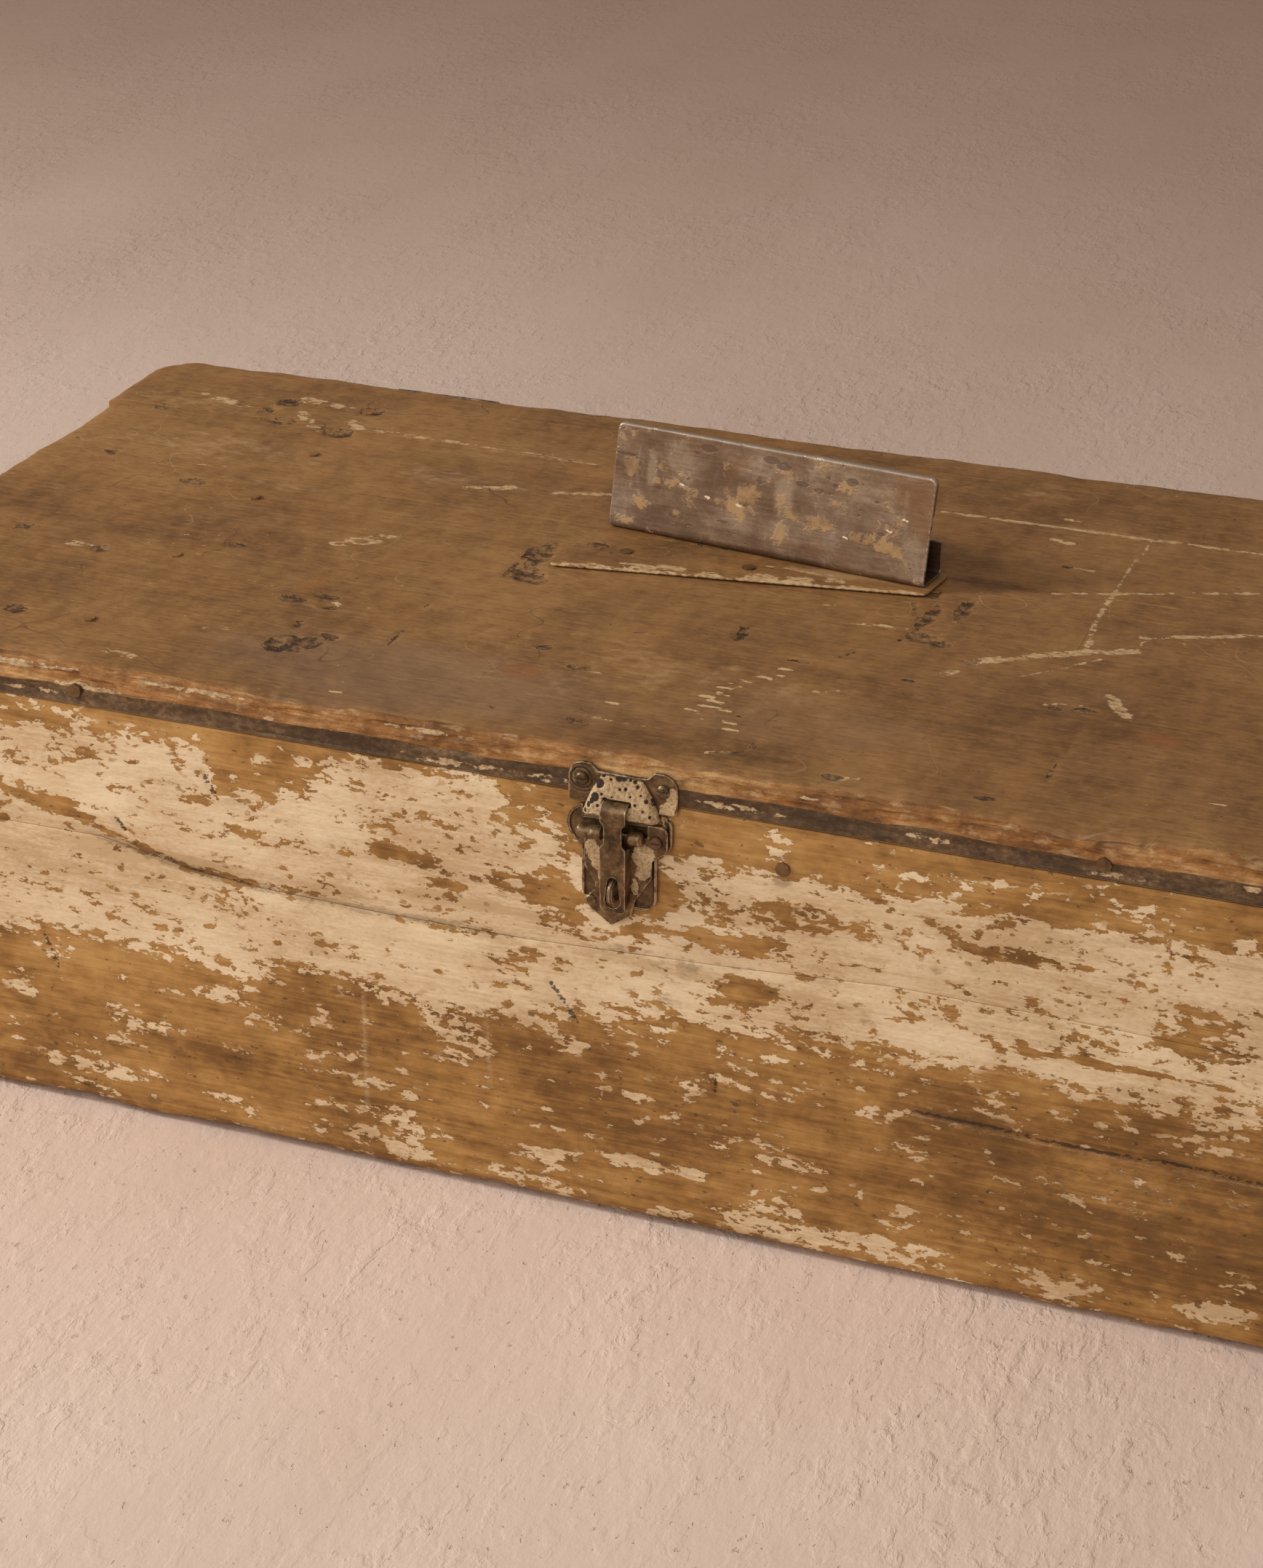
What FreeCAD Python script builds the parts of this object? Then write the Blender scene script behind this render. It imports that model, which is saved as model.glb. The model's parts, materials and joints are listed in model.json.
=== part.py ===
# A long, low plank box with a hinged plank lid, a hasp catch at the front
# and a bent steel plate on the lid. Millimetres; +X along the front to the
# right, +Y to the back, +Z up. The origin is on the floor under the middle
# of the carcass. Every piece is drawn from the front face (y = 0) backwards
# and is then moved half the depth forwards.
import FreeCAD, Part
import os
import re
import Sketcher

document = FreeCAD.newDocument("PlankBox")
sheet = document.addObject("Spreadsheet::Sheet", "Sizes")

DRIVING_SIZES = [
    # The carcass
    ("box_length", 656.0),
    ("box_depth", 310.0),
    ("side_height", 165.0),
    ("side_board", 16.0),
    ("upper_board_height", 56.0),
    ("bottom_board", 13.0),
    ("joint_gap", 0.3),
    ("plank_arris", 1.0),
    ("worn_arris", 3.5),
    ("cleat_side", 18.0),
    ("cleat_drop", 15.0),
    # The lid
    ("seam_gap", 0.3),
    ("lid_board", 15.8),
    ("lid_overhang", 0.5),
    ("lid_back_width", 58.0),
    ("lid_middle_width", 65.0),
    ("lid_back_extra", 4.0),
    ("batten_from_end", 108.0),
    ("batten_width", 45.0),
    ("batten_board", 14.0),
    ("batten_clearance", 4.0),
    ("batten_bevel", 6.0),
    # Nails
    ("nail_head_radius", 2.6),
    ("nail_head", 1.6),
    ("nail_head_proud", 0.5),
    ("nail_shank", 2.2),
    ("nail_length", 36.0),
    ("short_nail_length", 24.0),
    ("tack_length", 14.0),
    ("loose_nail_x", 55.2),
    ("loose_nail_below_seam", 15.5),
    ("lid_edge_nail_from_right", 167.7),
    ("lid_edge_nail_from_left", 123.1),
    ("lid_edge_nail_drop", 10.0),
    # Hinges at the back
    ("hinge_from_end", 128.0),
    ("hinge_width", 52.0),
    ("hinge_sheet", 1.6),
    ("hinge_lower_leaf", 27.0),
    ("hinge_upper_leaf", 14.2),
    ("knuckle_radius", 3.0),
    ("knuckle_gap", 0.4),
    ("hinge_pin_radius", 1.3),
    ("hinge_pin_clearance", 0.06),
    ("knuckle_play", 0.3),
    ("hinge_pin_head", 0.8),
    ("hinge_pin_head_radius", 2.0),
    ("leaf_clearance", 0.5),
    ("leaf_corner", 2.5),
    # Screws
    ("screw_radius", 1.5),
    ("screw_clearance", 0.1),
    ("screw_head_radius", 2.5),
    ("screw_head", 1.2),
    ("screw_head_bevel", 0.7),
    ("screw_slot_width", 0.6),
    ("screw_slot", 0.5),
    ("screw_length", 11.0),
    # The keeper on the lid's front edge
    ("keeper_sheet", 1.2),
    ("keeper_half_width", 19.2),
    ("keeper_below_seam", 2.4),
    ("keeper_above_seam", 12.2),
    ("keeper_dip", 2.6),
    ("keeper_ear_corner", 5.5),
    ("keeper_foot_corner", 1.6),
    ("keeper_screw_x", 14.3),
    ("keeper_screw_above_seam", 6.1),
    ("hood_top_half_width", 8.6),
    ("hood_foot_half_width", 13.4),
    ("hood_top_above_seam", 9.4),
    ("hood_foot_below_seam", 4.7),
    ("hood_foot_proud", 5.2),
    ("hood_corner", 1.5),
    ("hood_room", 0.6),
    ("cut_over", 1.0),
    # The hasp
    ("hasp_shift", 1.2),
    ("hasp_sheet", 1.2),
    ("hasp_width", 9.2),
    ("curl_bore", 2.4),
    ("lip_bar", 4.0),
    ("hasp_side_room", 0.5),
    ("curl_room", 0.3),
    ("neck_width", 6.6),
    ("neck_top_below_pivot", 4.1),
    ("neck_length", 8.0),
    ("neck_corner", 1.2),
    ("hasp_length", 36.0),
    ("hasp_flange_length", 22.6),
    ("hasp_foot_corner", 2.0),
    ("hasp_slot_width", 5.2),
    ("hasp_slot_tip_width", 3.4),
    ("hasp_slot_height", 11.2),
    ("hasp_slot_above_foot", 1.9),
    # The catch plates on the front board
    ("plate_shift", 1.3),
    ("dish_sheet", 1.0),
    ("dish_rim", 0.6),
    ("dish_rim_width", 1.2),
    ("dish_lobe_half_width", 18.8),
    ("dish_lobe_height", 15.4),
    ("dish_half_width", 13.5),
    ("dish_height", 36.6),
    ("dish_below_seam", 3.0),
    ("dish_lobe_corner", 2.4),
    ("dish_foot_corner", 5.0),
    ("leaf_sheet", 1.2),
    ("leaf_left", 12.0),
    ("leaf_bite_start", 25.6),
    ("leaf_bite", 8.2),
    ("leaf_bite_high", 31.0),
    ("leaf_bite_low", 33.6),
    ("leaf_flare", 12.2),
    ("leaf_flare_below_seam", 37.6),
    ("leaf_shoulder", 9.3),
    ("leaf_shoulder_below_seam", 41.8),
    ("leaf_tip_shift", 2.3),
    ("leaf_tip_below_seam", 46.6),
    ("leaf_chin", 4.7),
    ("leaf_side", 6.5),
    ("leaf_side_below_seam", 35.3),
    ("leaf_right", 12.1),
    ("leaf_right_below_seam", 26.4),
    ("leaf_waist", 20.1),
    ("leaf_lobe_heel", 15.6),
    ("leaf_lobe_foot", 17.3),
    ("leaf_lobe_right", 17.7),
    ("leaf_lobe_side", 15.0),
    ("leaf_lobe_top", 6.6),
    ("leaf_lobe_left", 10.3),
    ("leaf_lobe_corner", 3.0),
    ("barrel_radius", 2.6),
    ("barrel_lift", 0.3),
    ("barrel_below_seam", 11.4),
    ("barrel_left_length", 9.9),
    ("barrel_right_length", 5.6),
    ("barrel_gap_room", 0.7),
    ("barrel_end_round", 1.0),
    ("catch_screw_x", 13.4),
    ("catch_screw_below_seam", 12.5),
    ("catch_rivet_x", 9.6),
    ("catch_rivet_below_seam", 37.9),
    ("rivet_radius", 1.2),
    ("rivet_head_radius", 2.0),
    ("rivet_head", 0.9),
    ("rivet_head_bevel", 0.5),
    ("rivet_root", 8.0),
    ("staple_wire", 1.3),
    ("staple_bend", 3.1),
    ("staple_legs", 4.2),
    ("staple_above_hasp_foot", 7.6),
    # The steel plate on the lid
    ("lift_length", 132.0),
    ("lift_turn", 7.4),
    ("lift_sheet", 1.5),
    ("lift_height", 40.4),
    ("lift_lean", 9.4),
    ("lift_base", 18.0),
    ("lift_lip", 13.5),
    ("lift_hem", 14.5),
    ("lift_bend", 2.4),
    ("lift_corner", 3.0),
    ("lift_right_x", 53.2),
    ("lift_before_joint", 20.5),
    ("foot_sheet", 1.2),
    ("foot_left_reach", 42.0),
    ("foot_right_reach", 2.0),
    ("foot_right_extra", 2.0),
    ("foot_left_extra", 3.0),
    ("foot_corner", 3.0),
]

WORKED_OUT = [
    ("half_length", "=box_length / 2"),
    ("half_depth", "=box_depth / 2"),
    ("back_inside", "=box_depth - side_board"),
    ("end_inside", "=half_length - side_board"),
    ("lower_board_top", "=side_height - upper_board_height - joint_gap"),
    ("lid_underside", "=side_height + seam_gap"),
    ("lid_top", "=lid_underside + lid_board"),
    ("lid_front", "=-lid_overhang"),
    ("lid_end", "=half_length + lid_overhang"),
    ("lid_back_joint", "=box_depth - lid_back_width"),
    ("lid_front_joint", "=lid_back_joint - lid_middle_width"),
    ("batten_x", "=half_length - batten_from_end"),
    ("hinge_x", "=half_length - hinge_from_end"),
    ("lift_right_y", "=lid_front_joint - lift_before_joint"),
    ("pin_z", "=side_height + seam_gap / 2"),
    ("pin_y", "=box_depth + knuckle_radius + knuckle_gap"),
    ("leaf_end", "=knuckle_radius + leaf_clearance"),
    ("knuckle_length", "=hinge_width / 3"),
    ("hood_top", "=side_height + hood_top_above_seam"),
    ("hood_foot", "=side_height - hood_foot_below_seam"),
    ("hood_slope", "=(hood_foot_proud - keeper_sheet) / (hood_top - hood_foot)"),
    ("pivot_z", "=hood_foot + lip_bar / 2"),
    ("pivot_y", "=lid_front - keeper_sheet - hood_slope * (hood_top - pivot_z) + keeper_sheet / 2"),
    ("curl_radius", "=curl_bore + hasp_sheet"),
    ("hasp_back", "=pivot_y - curl_bore"),
    ("hasp_foot", "=pivot_z - hasp_length"),
    ("neck_top", "=pivot_z - neck_top_below_pivot"),
    ("neck_foot", "=neck_top - neck_length"),
    ("dish_top", "=side_height - dish_below_seam"),
    ("leaf_back", "=-dish_sheet - dish_rim"),
    ("leaf_face", "=leaf_back - leaf_sheet"),
    ("barrel_z", "=side_height - barrel_below_seam"),
    ("barrel_y", "=leaf_back - barrel_lift - barrel_radius"),
    ("barrel_gap_half", "=neck_width / 2 + barrel_gap_room"),
    ("staple_z", "=hasp_foot + staple_above_hasp_foot"),
    ("foot_top", "=lid_top + foot_sheet"),
]

for row, (alias, value) in enumerate(DRIVING_SIZES + WORKED_OUT, start=1):
    sheet.set(f"A{row}", alias.replace("_", " "))
    sheet.set(f"B{row}", str(value))
    sheet.setAlias(f"B{row}", alias)
document.recompute()
NAMES = {alias for alias, value in DRIVING_SIZES + WORKED_OUT}

pieces = []


def formula(text):
    """Write the sheet's name before every size that a formula uses."""
    return re.sub(r"[a-z_]+", lambda word: "Sizes." * (word.group() in NAMES) + word.group(), text)


def number(text):
    """Work out a formula with the sheet's present sizes."""
    return float(sheet.evalExpression(text))


def vector(x, y, z):
    """Work out a place from three formulas."""
    return FreeCAD.Vector(number(x), number(y), number(z))


def new_body(label, keep=True):
    """Start a piece. It is drawn from the front face and moved to the middle."""
    body = document.addObject("PartDesign::Body", label.title().replace("_", ""))
    body.Label = label
    if keep:
        body.setExpression("Placement.Base.y", formula("-half_depth"))
        pieces.append(body)
    return body


def new_sketch(body, plane, offset="0"):
    """Attach a sketch to one of the piece's own planes, moved along its normal."""
    sketch = body.newObject("Sketcher::SketchObject", "Outline")
    for feature in body.Origin.OriginFeatures:
        if feature.Role == plane:
            sketch.AttachmentSupport = [(feature, "")]
    sketch.MapMode = "FlatFace"
    sketch.setExpression("AttachmentOffset.Base.z", formula(offset))
    return sketch


def draw_outline(sketch, corners):
    """Draw straight lines round the corners, each bound to two formulas."""
    start = sketch.GeometryCount
    places = [FreeCAD.Vector(number(across), number(up), 0) for across, up in corners]
    for place, following in zip(places, places[1:] + places[:1]):
        sketch.addGeometry(Part.LineSegment(place, following), False)
    for index, (across, up) in enumerate(corners):
        line = start + index
        following = start + (index + 1) % len(corners)
        sketch.addConstraint(Sketcher.Constraint("Coincident", line, 2, following, 1))
        for kind, text, value in (("DistanceX", across, places[index].x), ("DistanceY", up, places[index].y)):
            constraint = sketch.addConstraint(Sketcher.Constraint(kind, -1, 1, line, 1, value))
            sketch.setExpression(f"Constraints[{constraint}]", formula(text))


def draw_circle(sketch, across, up, radius):
    """Draw a circle whose centre and radius are bound to formulas."""
    centre = FreeCAD.Vector(number(across), number(up), 0)
    circle = sketch.addGeometry(Part.Circle(centre, FreeCAD.Vector(0, 0, 1), number(radius)), False)
    for kind, text, value in (("DistanceX", across, centre.x), ("DistanceY", up, centre.y)):
        constraint = sketch.addConstraint(Sketcher.Constraint(kind, -1, 1, circle, 3, value))
        sketch.setExpression(f"Constraints[{constraint}]", formula(text))
    constraint = sketch.addConstraint(Sketcher.Constraint("Radius", circle, number(radius)))
    sketch.setExpression(f"Constraints[{constraint}]", formula(radius))


def rectangle(low_across, high_across, low_up, high_up):
    """Corners of an upright rectangle."""
    return [(low_across, low_up), (high_across, low_up), (high_across, high_up), (low_across, high_up)]


SMALL_ROUND_SIDES = 12


def small_round(across, up, radius, sides=SMALL_ROUND_SIDES):
    """Corners of the many-sided outline that stands for a small circle."""
    turns = [360 / sides * side for side in range(sides)]
    return [(f"{across} + ({radius}) * cos({turn})", f"{up} + ({radius}) * sin({turn})") for turn in turns]


def pad(body, plane, start, thickness, corners=None, circles=(), rounds=()):
    """Raise an outline, circles or small rounds from a plane by a thickness."""
    sketch = new_sketch(body, plane, start)
    if corners:
        draw_outline(sketch, corners)
    for circle in circles:
        draw_circle(sketch, *circle)
    for place in rounds:
        draw_outline(sketch, small_round(*place))
    feature = body.newObject("PartDesign::Pad", "Pad")
    feature.Profile = sketch
    feature.setExpression("Length", formula(thickness))
    document.recompute()
    return feature


def pocket(body, plane, start, depth, corners=None, circles=(), rounds=()):
    """Cut an outline, circles or small rounds from a plane along its normal."""
    sketch = new_sketch(body, plane, start)
    if corners:
        draw_outline(sketch, corners)
    for circle in circles:
        draw_circle(sketch, *circle)
    for place in rounds:
        draw_outline(sketch, small_round(*place))
    before = body.Shape.Volume
    feature = body.newObject("PartDesign::Pocket", "Pocket")
    feature.Profile = sketch
    feature.Reversed = True
    feature.setExpression("Length", formula(depth))
    document.recompute()
    if body.Shape.Volume >= before:
        raise RuntimeError(f"a pocket in {body.Label} cuts nothing")
    return feature


def edges_where(feature, test):
    """Names of the edges whose middle and direction pass a test."""
    names = []
    for index, edge in enumerate(feature.Shape.Edges, start=1):
        first, last = edge.ParameterRange
        middle = edge.valueAt((first + last) / 2)
        along = edge.tangentAt((first + last) / 2)
        if test(middle, along):
            names.append(f"Edge{index}")
    return names


def dress(body, feature, kind, size, test):
    """Round or bevel the chosen edges of a feature."""
    names = edges_where(feature, test)
    if not names:
        raise RuntimeError(f"no edge to dress in {body.Label}")
    dressed = body.newObject(f"PartDesign::{kind}", kind)
    dressed.Base = (feature, names)
    dressed.setExpression("Radius" if kind == "Fillet" else "Size", formula(size))
    document.recompute()
    return dressed


TOUCH = 0.01


def near(value, text):
    """Whether a place lies on a formula's value."""
    return abs(value - number(text)) < TOUCH


def runs_along(along, axis):
    """Whether a direction follows an axis, either way."""
    return abs(getattr(along, axis)) > 1 - TOUCH


def board(label, x_range, y_range, z_range, worn=None, grain="x"):
    """A plank with its arrises taken off, and more off the worn ones."""
    body = new_body(label)
    plank = pad(body, "XY_Plane", z_range[0], f"{z_range[1]} - ({z_range[0]})", rectangle(*x_range, *y_range))
    if worn:
        plank = dress(body, plank, "Fillet", "worn_arris", worn)
    dress(body, plank, "Chamfer", "plank_arris", lambda middle, along: runs_along(along, grain)
          and not (worn and worn_beside(middle, plank)))


def worn_beside(middle, plank):
    """Whether an edge bounds a rounded face, which needs no bevel."""
    for face in plank.Shape.Faces:
        if face.Surface.TypeId == "Part::GeomCylinder" and face.distToShape(Part.Vertex(middle))[0] < TOUCH:
            return True
    return False


# The carcass: two boards front and back, one at each end, three underneath


def long_side(label, y_range, outer_face):
    """The two boards of a long side, the lower one worn round underneath."""
    along = ("-half_length", "half_length")
    board(f"{label}_board_lower", along, y_range, ("0", "lower_board_top"),
          worn=lambda middle, line: runs_along(line, "x") and near(middle.z, "0")
          and near(middle.y, outer_face))
    board(f"{label}_board_upper", along, y_range, ("side_height - upper_board_height", "side_height"))


long_side("front", ("0", "side_board"), "0")
long_side("back", ("back_inside", "box_depth"), "box_depth")
BETWEEN_SIDES = ("side_board", "back_inside")
board("left_end_board", ("-half_length", "-end_inside"), BETWEEN_SIDES, ("0", "side_height"), grain="y")
board("right_end_board", ("end_inside", "half_length"), BETWEEN_SIDES, ("0", "side_height"), grain="y")

BOTTOM_NAMES = ("front", "middle", "back")
BOTTOM_STEP = "(back_inside - side_board) / 3"
for index, name in enumerate(BOTTOM_NAMES):
    low = f"side_board + {index} * {BOTTOM_STEP} + joint_gap / 2"
    high = f"side_board + {index + 1} * {BOTTOM_STEP} - joint_gap / 2"
    board(f"bottom_board_{name}", ("-end_inside", "end_inside"), (low, high), ("0", "bottom_board"))


def cleat(label, x_range, y_range):
    """A square post in a corner that ties the two boards of a side together."""
    body = new_body(label)
    pad(body, "XY_Plane", "bottom_board", "side_height - cleat_drop - bottom_board",
        rectangle(*x_range, *y_range))


LEFT_CLEAT = ("-end_inside", "-end_inside + cleat_side")
RIGHT_CLEAT = ("end_inside - cleat_side", "end_inside")
FRONT_CLEAT = ("side_board", "side_board + cleat_side")
BACK_CLEAT = ("back_inside - cleat_side", "back_inside")
cleat("cleat_front_left", LEFT_CLEAT, FRONT_CLEAT)
cleat("cleat_front_right", RIGHT_CLEAT, FRONT_CLEAT)
cleat("cleat_back_left", LEFT_CLEAT, BACK_CLEAT)
cleat("cleat_back_right", RIGHT_CLEAT, BACK_CLEAT)

# The lid: three boards side by side on two battens

LID_Z = ("lid_underside", "lid_top")
LID_X = ("-lid_end", "lid_end")


def on_lid_top(middle, along, across_text):
    """Whether an edge is a long top edge of the lid at a given depth."""
    return runs_along(along, "x") and near(middle.z, "lid_top") and near(middle.y, across_text)


board("lid_board_front", LID_X, ("lid_front", "lid_front_joint - joint_gap / 2"), LID_Z,
      worn=lambda middle, along: on_lid_top(middle, along, "lid_front"))
board("lid_board_middle", LID_X, ("lid_front_joint + joint_gap / 2", "lid_back_joint - joint_gap / 2"), LID_Z)
board("lid_board_back", ("-lid_end - lid_back_extra", "lid_end"),
      ("lid_back_joint + joint_gap / 2", "box_depth"), LID_Z,
      worn=lambda middle, along: on_lid_top(middle, along, "box_depth"))


def batten(label, centre):
    """A bevelled cross batten under the lid, clear of the carcass walls."""
    body = new_body(label)
    block = pad(body, "XY_Plane", "lid_underside - batten_board", "batten_board",
                rectangle(f"{centre} - batten_width / 2", f"{centre} + batten_width / 2",
                          "side_board + batten_clearance", "back_inside - batten_clearance"))
    dress(body, block, "Chamfer", "batten_bevel",
          lambda middle, along: near(middle.z, "lid_underside - batten_board") and runs_along(along, "x"))


batten("lid_batten_left", "-batten_x")
batten("lid_batten_right", "batten_x")

# Nails: a flat eight-sided head on a square shank

head = document.addObject("Part::Prism", "NailHead")
head.Polygon = 8
head.setExpression("Circumradius", formula("nail_head_radius"))
head.setExpression("Height", formula("nail_head"))
head.setExpression("Placement.Base.z", formula("nail_head_proud - nail_head"))
INTO = {
    "back": FreeCAD.Rotation(FreeCAD.Vector(0, 0, 1), FreeCAD.Vector(0, -1, 0)),
    "front": FreeCAD.Rotation(FreeCAD.Vector(0, 0, 1), FreeCAD.Vector(0, 1, 0)),
    "right": FreeCAD.Rotation(FreeCAD.Vector(0, 0, 1), FreeCAD.Vector(-1, 0, 0)),
    "left": FreeCAD.Rotation(FreeCAD.Vector(0, 0, 1), FreeCAD.Vector(1, 0, 0)),
    "down": FreeCAD.Rotation(),
}


def make_nail(name, length):
    """One nail that points down, its head's underside just in the wood."""
    shank = document.addObject("Part::Box", f"{name}Shank")
    for side in ("Length", "Width"):
        shank.setExpression(side, formula("nail_shank"))
    shank.setExpression("Height", formula(f"{length} - nail_head / 2"))
    for side in ("x", "y"):
        shank.setExpression(f"Placement.Base.{side}", formula("-nail_shank / 2"))
    shank.setExpression("Placement.Base.z", formula(f"-{length}"))
    nail = document.addObject("Part::Fuse", name)
    nail.Base = head
    nail.Tool = shank
    document.recompute()
    return nail


def group(label, pattern, places):
    """Copies of one fastener, each at a place and driven one way."""
    copies = []
    for x, y, z, way in places:
        copy = pattern.Shape.copy()
        copy.Placement = FreeCAD.Placement(vector(x, y, z), INTO[way]).multiply(pattern.Shape.Placement)
        copies.append(copy)
    fasteners = document.addObject("Part::Feature", label.title().replace("_", ""))
    fasteners.Label = label
    fasteners.Shape = Part.makeCompound(copies)
    fasteners.Placement = FreeCAD.Placement(vector("0", "-half_depth", "0"), FreeCAD.Rotation())
    pieces.append(fasteners)


long_nail = make_nail("LongNail", "nail_length")
short_nail = make_nail("ShortNail", "short_nail_length")
tack = make_nail("Tack", "tack_length")

END_NAIL_X = "half_length - side_board / 2"
CLEAT_NAIL_X = "end_inside - cleat_side / 2"
BOTTOM_NAIL_Z = "bottom_board / 2"
LOWER_SHARES = (0.22, 0.54, 0.88)
UPPER_SHARES = (0.22, 0.82)
BOTTOM_SHARES = (-0.85, -0.596, -0.18, 0.18, 0.596, 0.85)
HEIGHTS = [f"{share} * lower_board_top" for share in LOWER_SHARES]
HEIGHTS += [f"side_height - upper_board_height * (1 - {share})" for share in UPPER_SHARES]


def side_nails(face, way):
    """Nails of a long side: into the end boards and the bottom boards."""
    places = [(f"{sign}({END_NAIL_X})", face, height, way) for sign in ("-", "") for height in HEIGHTS]
    return places + [(f"{share} * end_inside", face, BOTTOM_NAIL_Z, way) for share in BOTTOM_SHARES]


group("front_nails", long_nail, side_nails("0", "back"))
group("back_nails", long_nail, side_nails("box_depth", "front"))
group("cleat_nails", short_nail, [(f"{sign}({CLEAT_NAIL_X})", face, height, way)
                                  for face, way in (("0", "back"), ("box_depth", "front"))
                                  for sign in ("-", "") for height in (HEIGHTS[1], HEIGHTS[3])])

END_SHARES = (0.17, 0.5, 0.83)
end_places = []
for sign, way in (("-", "right"), ("", "left")):
    for share in END_SHARES:
        depth = f"side_board + {share} * (back_inside - side_board)"
        end_places.append((f"{sign}half_length", depth, BOTTOM_NAIL_Z, way))
group("end_nails", long_nail, end_places)

BATTEN_NAIL_SHARES = (0.12, 0.33, 0.54, 0.708, 0.88)
batten_places = [(f"{sign}batten_x", f"{share} * box_depth", "lid_top", "down")
                 for sign in ("-", "") for share in BATTEN_NAIL_SHARES]
group("batten_nails", short_nail, batten_places)
group("loose_front_nail", tack, [
    ("loose_nail_x", "0", "side_height - loose_nail_below_seam", "back"),
])
group("lid_edge_nails", short_nail, [
    ("half_length - lid_edge_nail_from_right", "lid_front", "lid_top - lid_edge_nail_drop", "back"),
    ("-half_length + lid_edge_nail_from_left", "lid_front", "lid_top - lid_edge_nail_drop", "back"),
])

# The two hinges on the back, each with three knuckles on one pin


def leaf(label, centre, knuckles, plate_z, tab_z, screw_places):
    """One hinge leaf: a plate, and tabs that roll into its knuckles."""
    body = new_body(label)
    outside = "-box_depth - hinge_sheet"
    wide = (f"{centre} - hinge_width / 2", f"{centre} + hinge_width / 2")
    plate = pad(body, "XZ_Plane", outside, "hinge_sheet", rectangle(*wide, *plate_z))
    far_edge = plate_z[0] if "lower" in label else plate_z[1]
    dress(body, plate, "Chamfer", "leaf_corner",
          lambda middle, along: runs_along(along, "y") and near(middle.z, far_edge))
    for low, high in knuckles:
        pad(body, "XZ_Plane", outside, "hinge_sheet", rectangle(low, high, *tab_z))
        pad(body, "YZ_Plane", low, f"{high} - ({low})", circles=[("pin_y", "pin_z", "knuckle_radius")])
    pocket(body, "YZ_Plane", wide[0], "hinge_width",
           circles=[("pin_y", "pin_z", "hinge_pin_radius + hinge_pin_clearance")])
    holes = [(x, z, "screw_radius + screw_clearance") for x, y, z, way in screw_places]
    pocket(body, "XZ_Plane", outside, "hinge_sheet", rounds=holes)


def hinge(side, sign):
    """A hinge of two leaves and a pin with a small head at each end."""
    centre = f"{sign}hinge_x"
    outer_left = (f"{centre} - hinge_width / 2", f"{centre} - knuckle_length / 2 - knuckle_play / 2")
    outer_right = (f"{centre} + knuckle_length / 2 + knuckle_play / 2", f"{centre} + hinge_width / 2")
    middle = (f"{centre} - knuckle_length / 2 + knuckle_play / 2",
              f"{centre} + knuckle_length / 2 - knuckle_play / 2")
    face = "box_depth + hinge_sheet"
    lower_places = [(f"{centre} - {share} * hinge_width", face, f"pin_z - {drop} * hinge_lower_leaf", "front")
                    for share, drop in LOWER_SCREW_SHARES]
    upper_z = "pin_z + (leaf_end + hinge_upper_leaf) / 2"
    upper_places = [(f"{centre} - {share} * hinge_width", face, upper_z, "front")
                    for share in UPPER_SCREW_SHARES]
    leaf(f"hinge_lower_leaf_{side}", centre, (outer_left, outer_right),
         ("pin_z - hinge_lower_leaf", "pin_z - leaf_end"), ("pin_z - leaf_end", "pin_z"), lower_places)
    leaf(f"hinge_upper_leaf_{side}", centre, (middle,),
         ("pin_z + leaf_end", "pin_z + hinge_upper_leaf"), ("pin_z", "pin_z + leaf_end"), upper_places)
    pin = new_body(f"hinge_pin_{side}")
    pad(pin, "YZ_Plane", outer_left[0], "hinge_width", rounds=[("pin_y", "pin_z", "hinge_pin_radius")])
    head_round = [("pin_y", "pin_z", "hinge_pin_head_radius")]
    pad(pin, "YZ_Plane", f"{outer_left[0]} - hinge_pin_head", "hinge_pin_head", rounds=head_round)
    pad(pin, "YZ_Plane", outer_right[1], "hinge_pin_head", rounds=head_round)
    return lower_places, upper_places


LOWER_SCREW_SHARES = ((-0.33, 0.42), (0.33, 0.42), (0.0, 0.76))
UPPER_SCREW_SHARES = (-0.36, 0.36)
left_lower, left_upper = hinge("left", "-")
right_lower, right_upper = hinge("right", "")

# Screws: a slotted round head on a plain shank

SHANK_SIDES = 6
HEAD_SIDES = 16
screw = new_body("screw_pattern", keep=False)
pad(screw, "XY_Plane", "-screw_length", "screw_length", rounds=[("0", "0", "screw_radius", SHANK_SIDES)])
dome = pad(screw, "XY_Plane", "0", "screw_head", rounds=[("0", "0", "screw_head_radius", HEAD_SIDES)])
dress(screw, dome, "Chamfer", "screw_head_bevel", lambda middle, along: near(middle.z, "screw_head"))
pocket(screw, "XY_Plane", "screw_head - screw_slot", "screw_slot",
       rectangle("-screw_head_radius", "screw_head_radius", "-screw_slot_width / 2", "screw_slot_width / 2"))

group("hinge_lower_screws", screw, left_lower + right_lower)
group("hinge_upper_screws", screw, left_upper + right_upper)

# The keeper: an eared plate with a pressed hood that holds a lip bar

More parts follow.
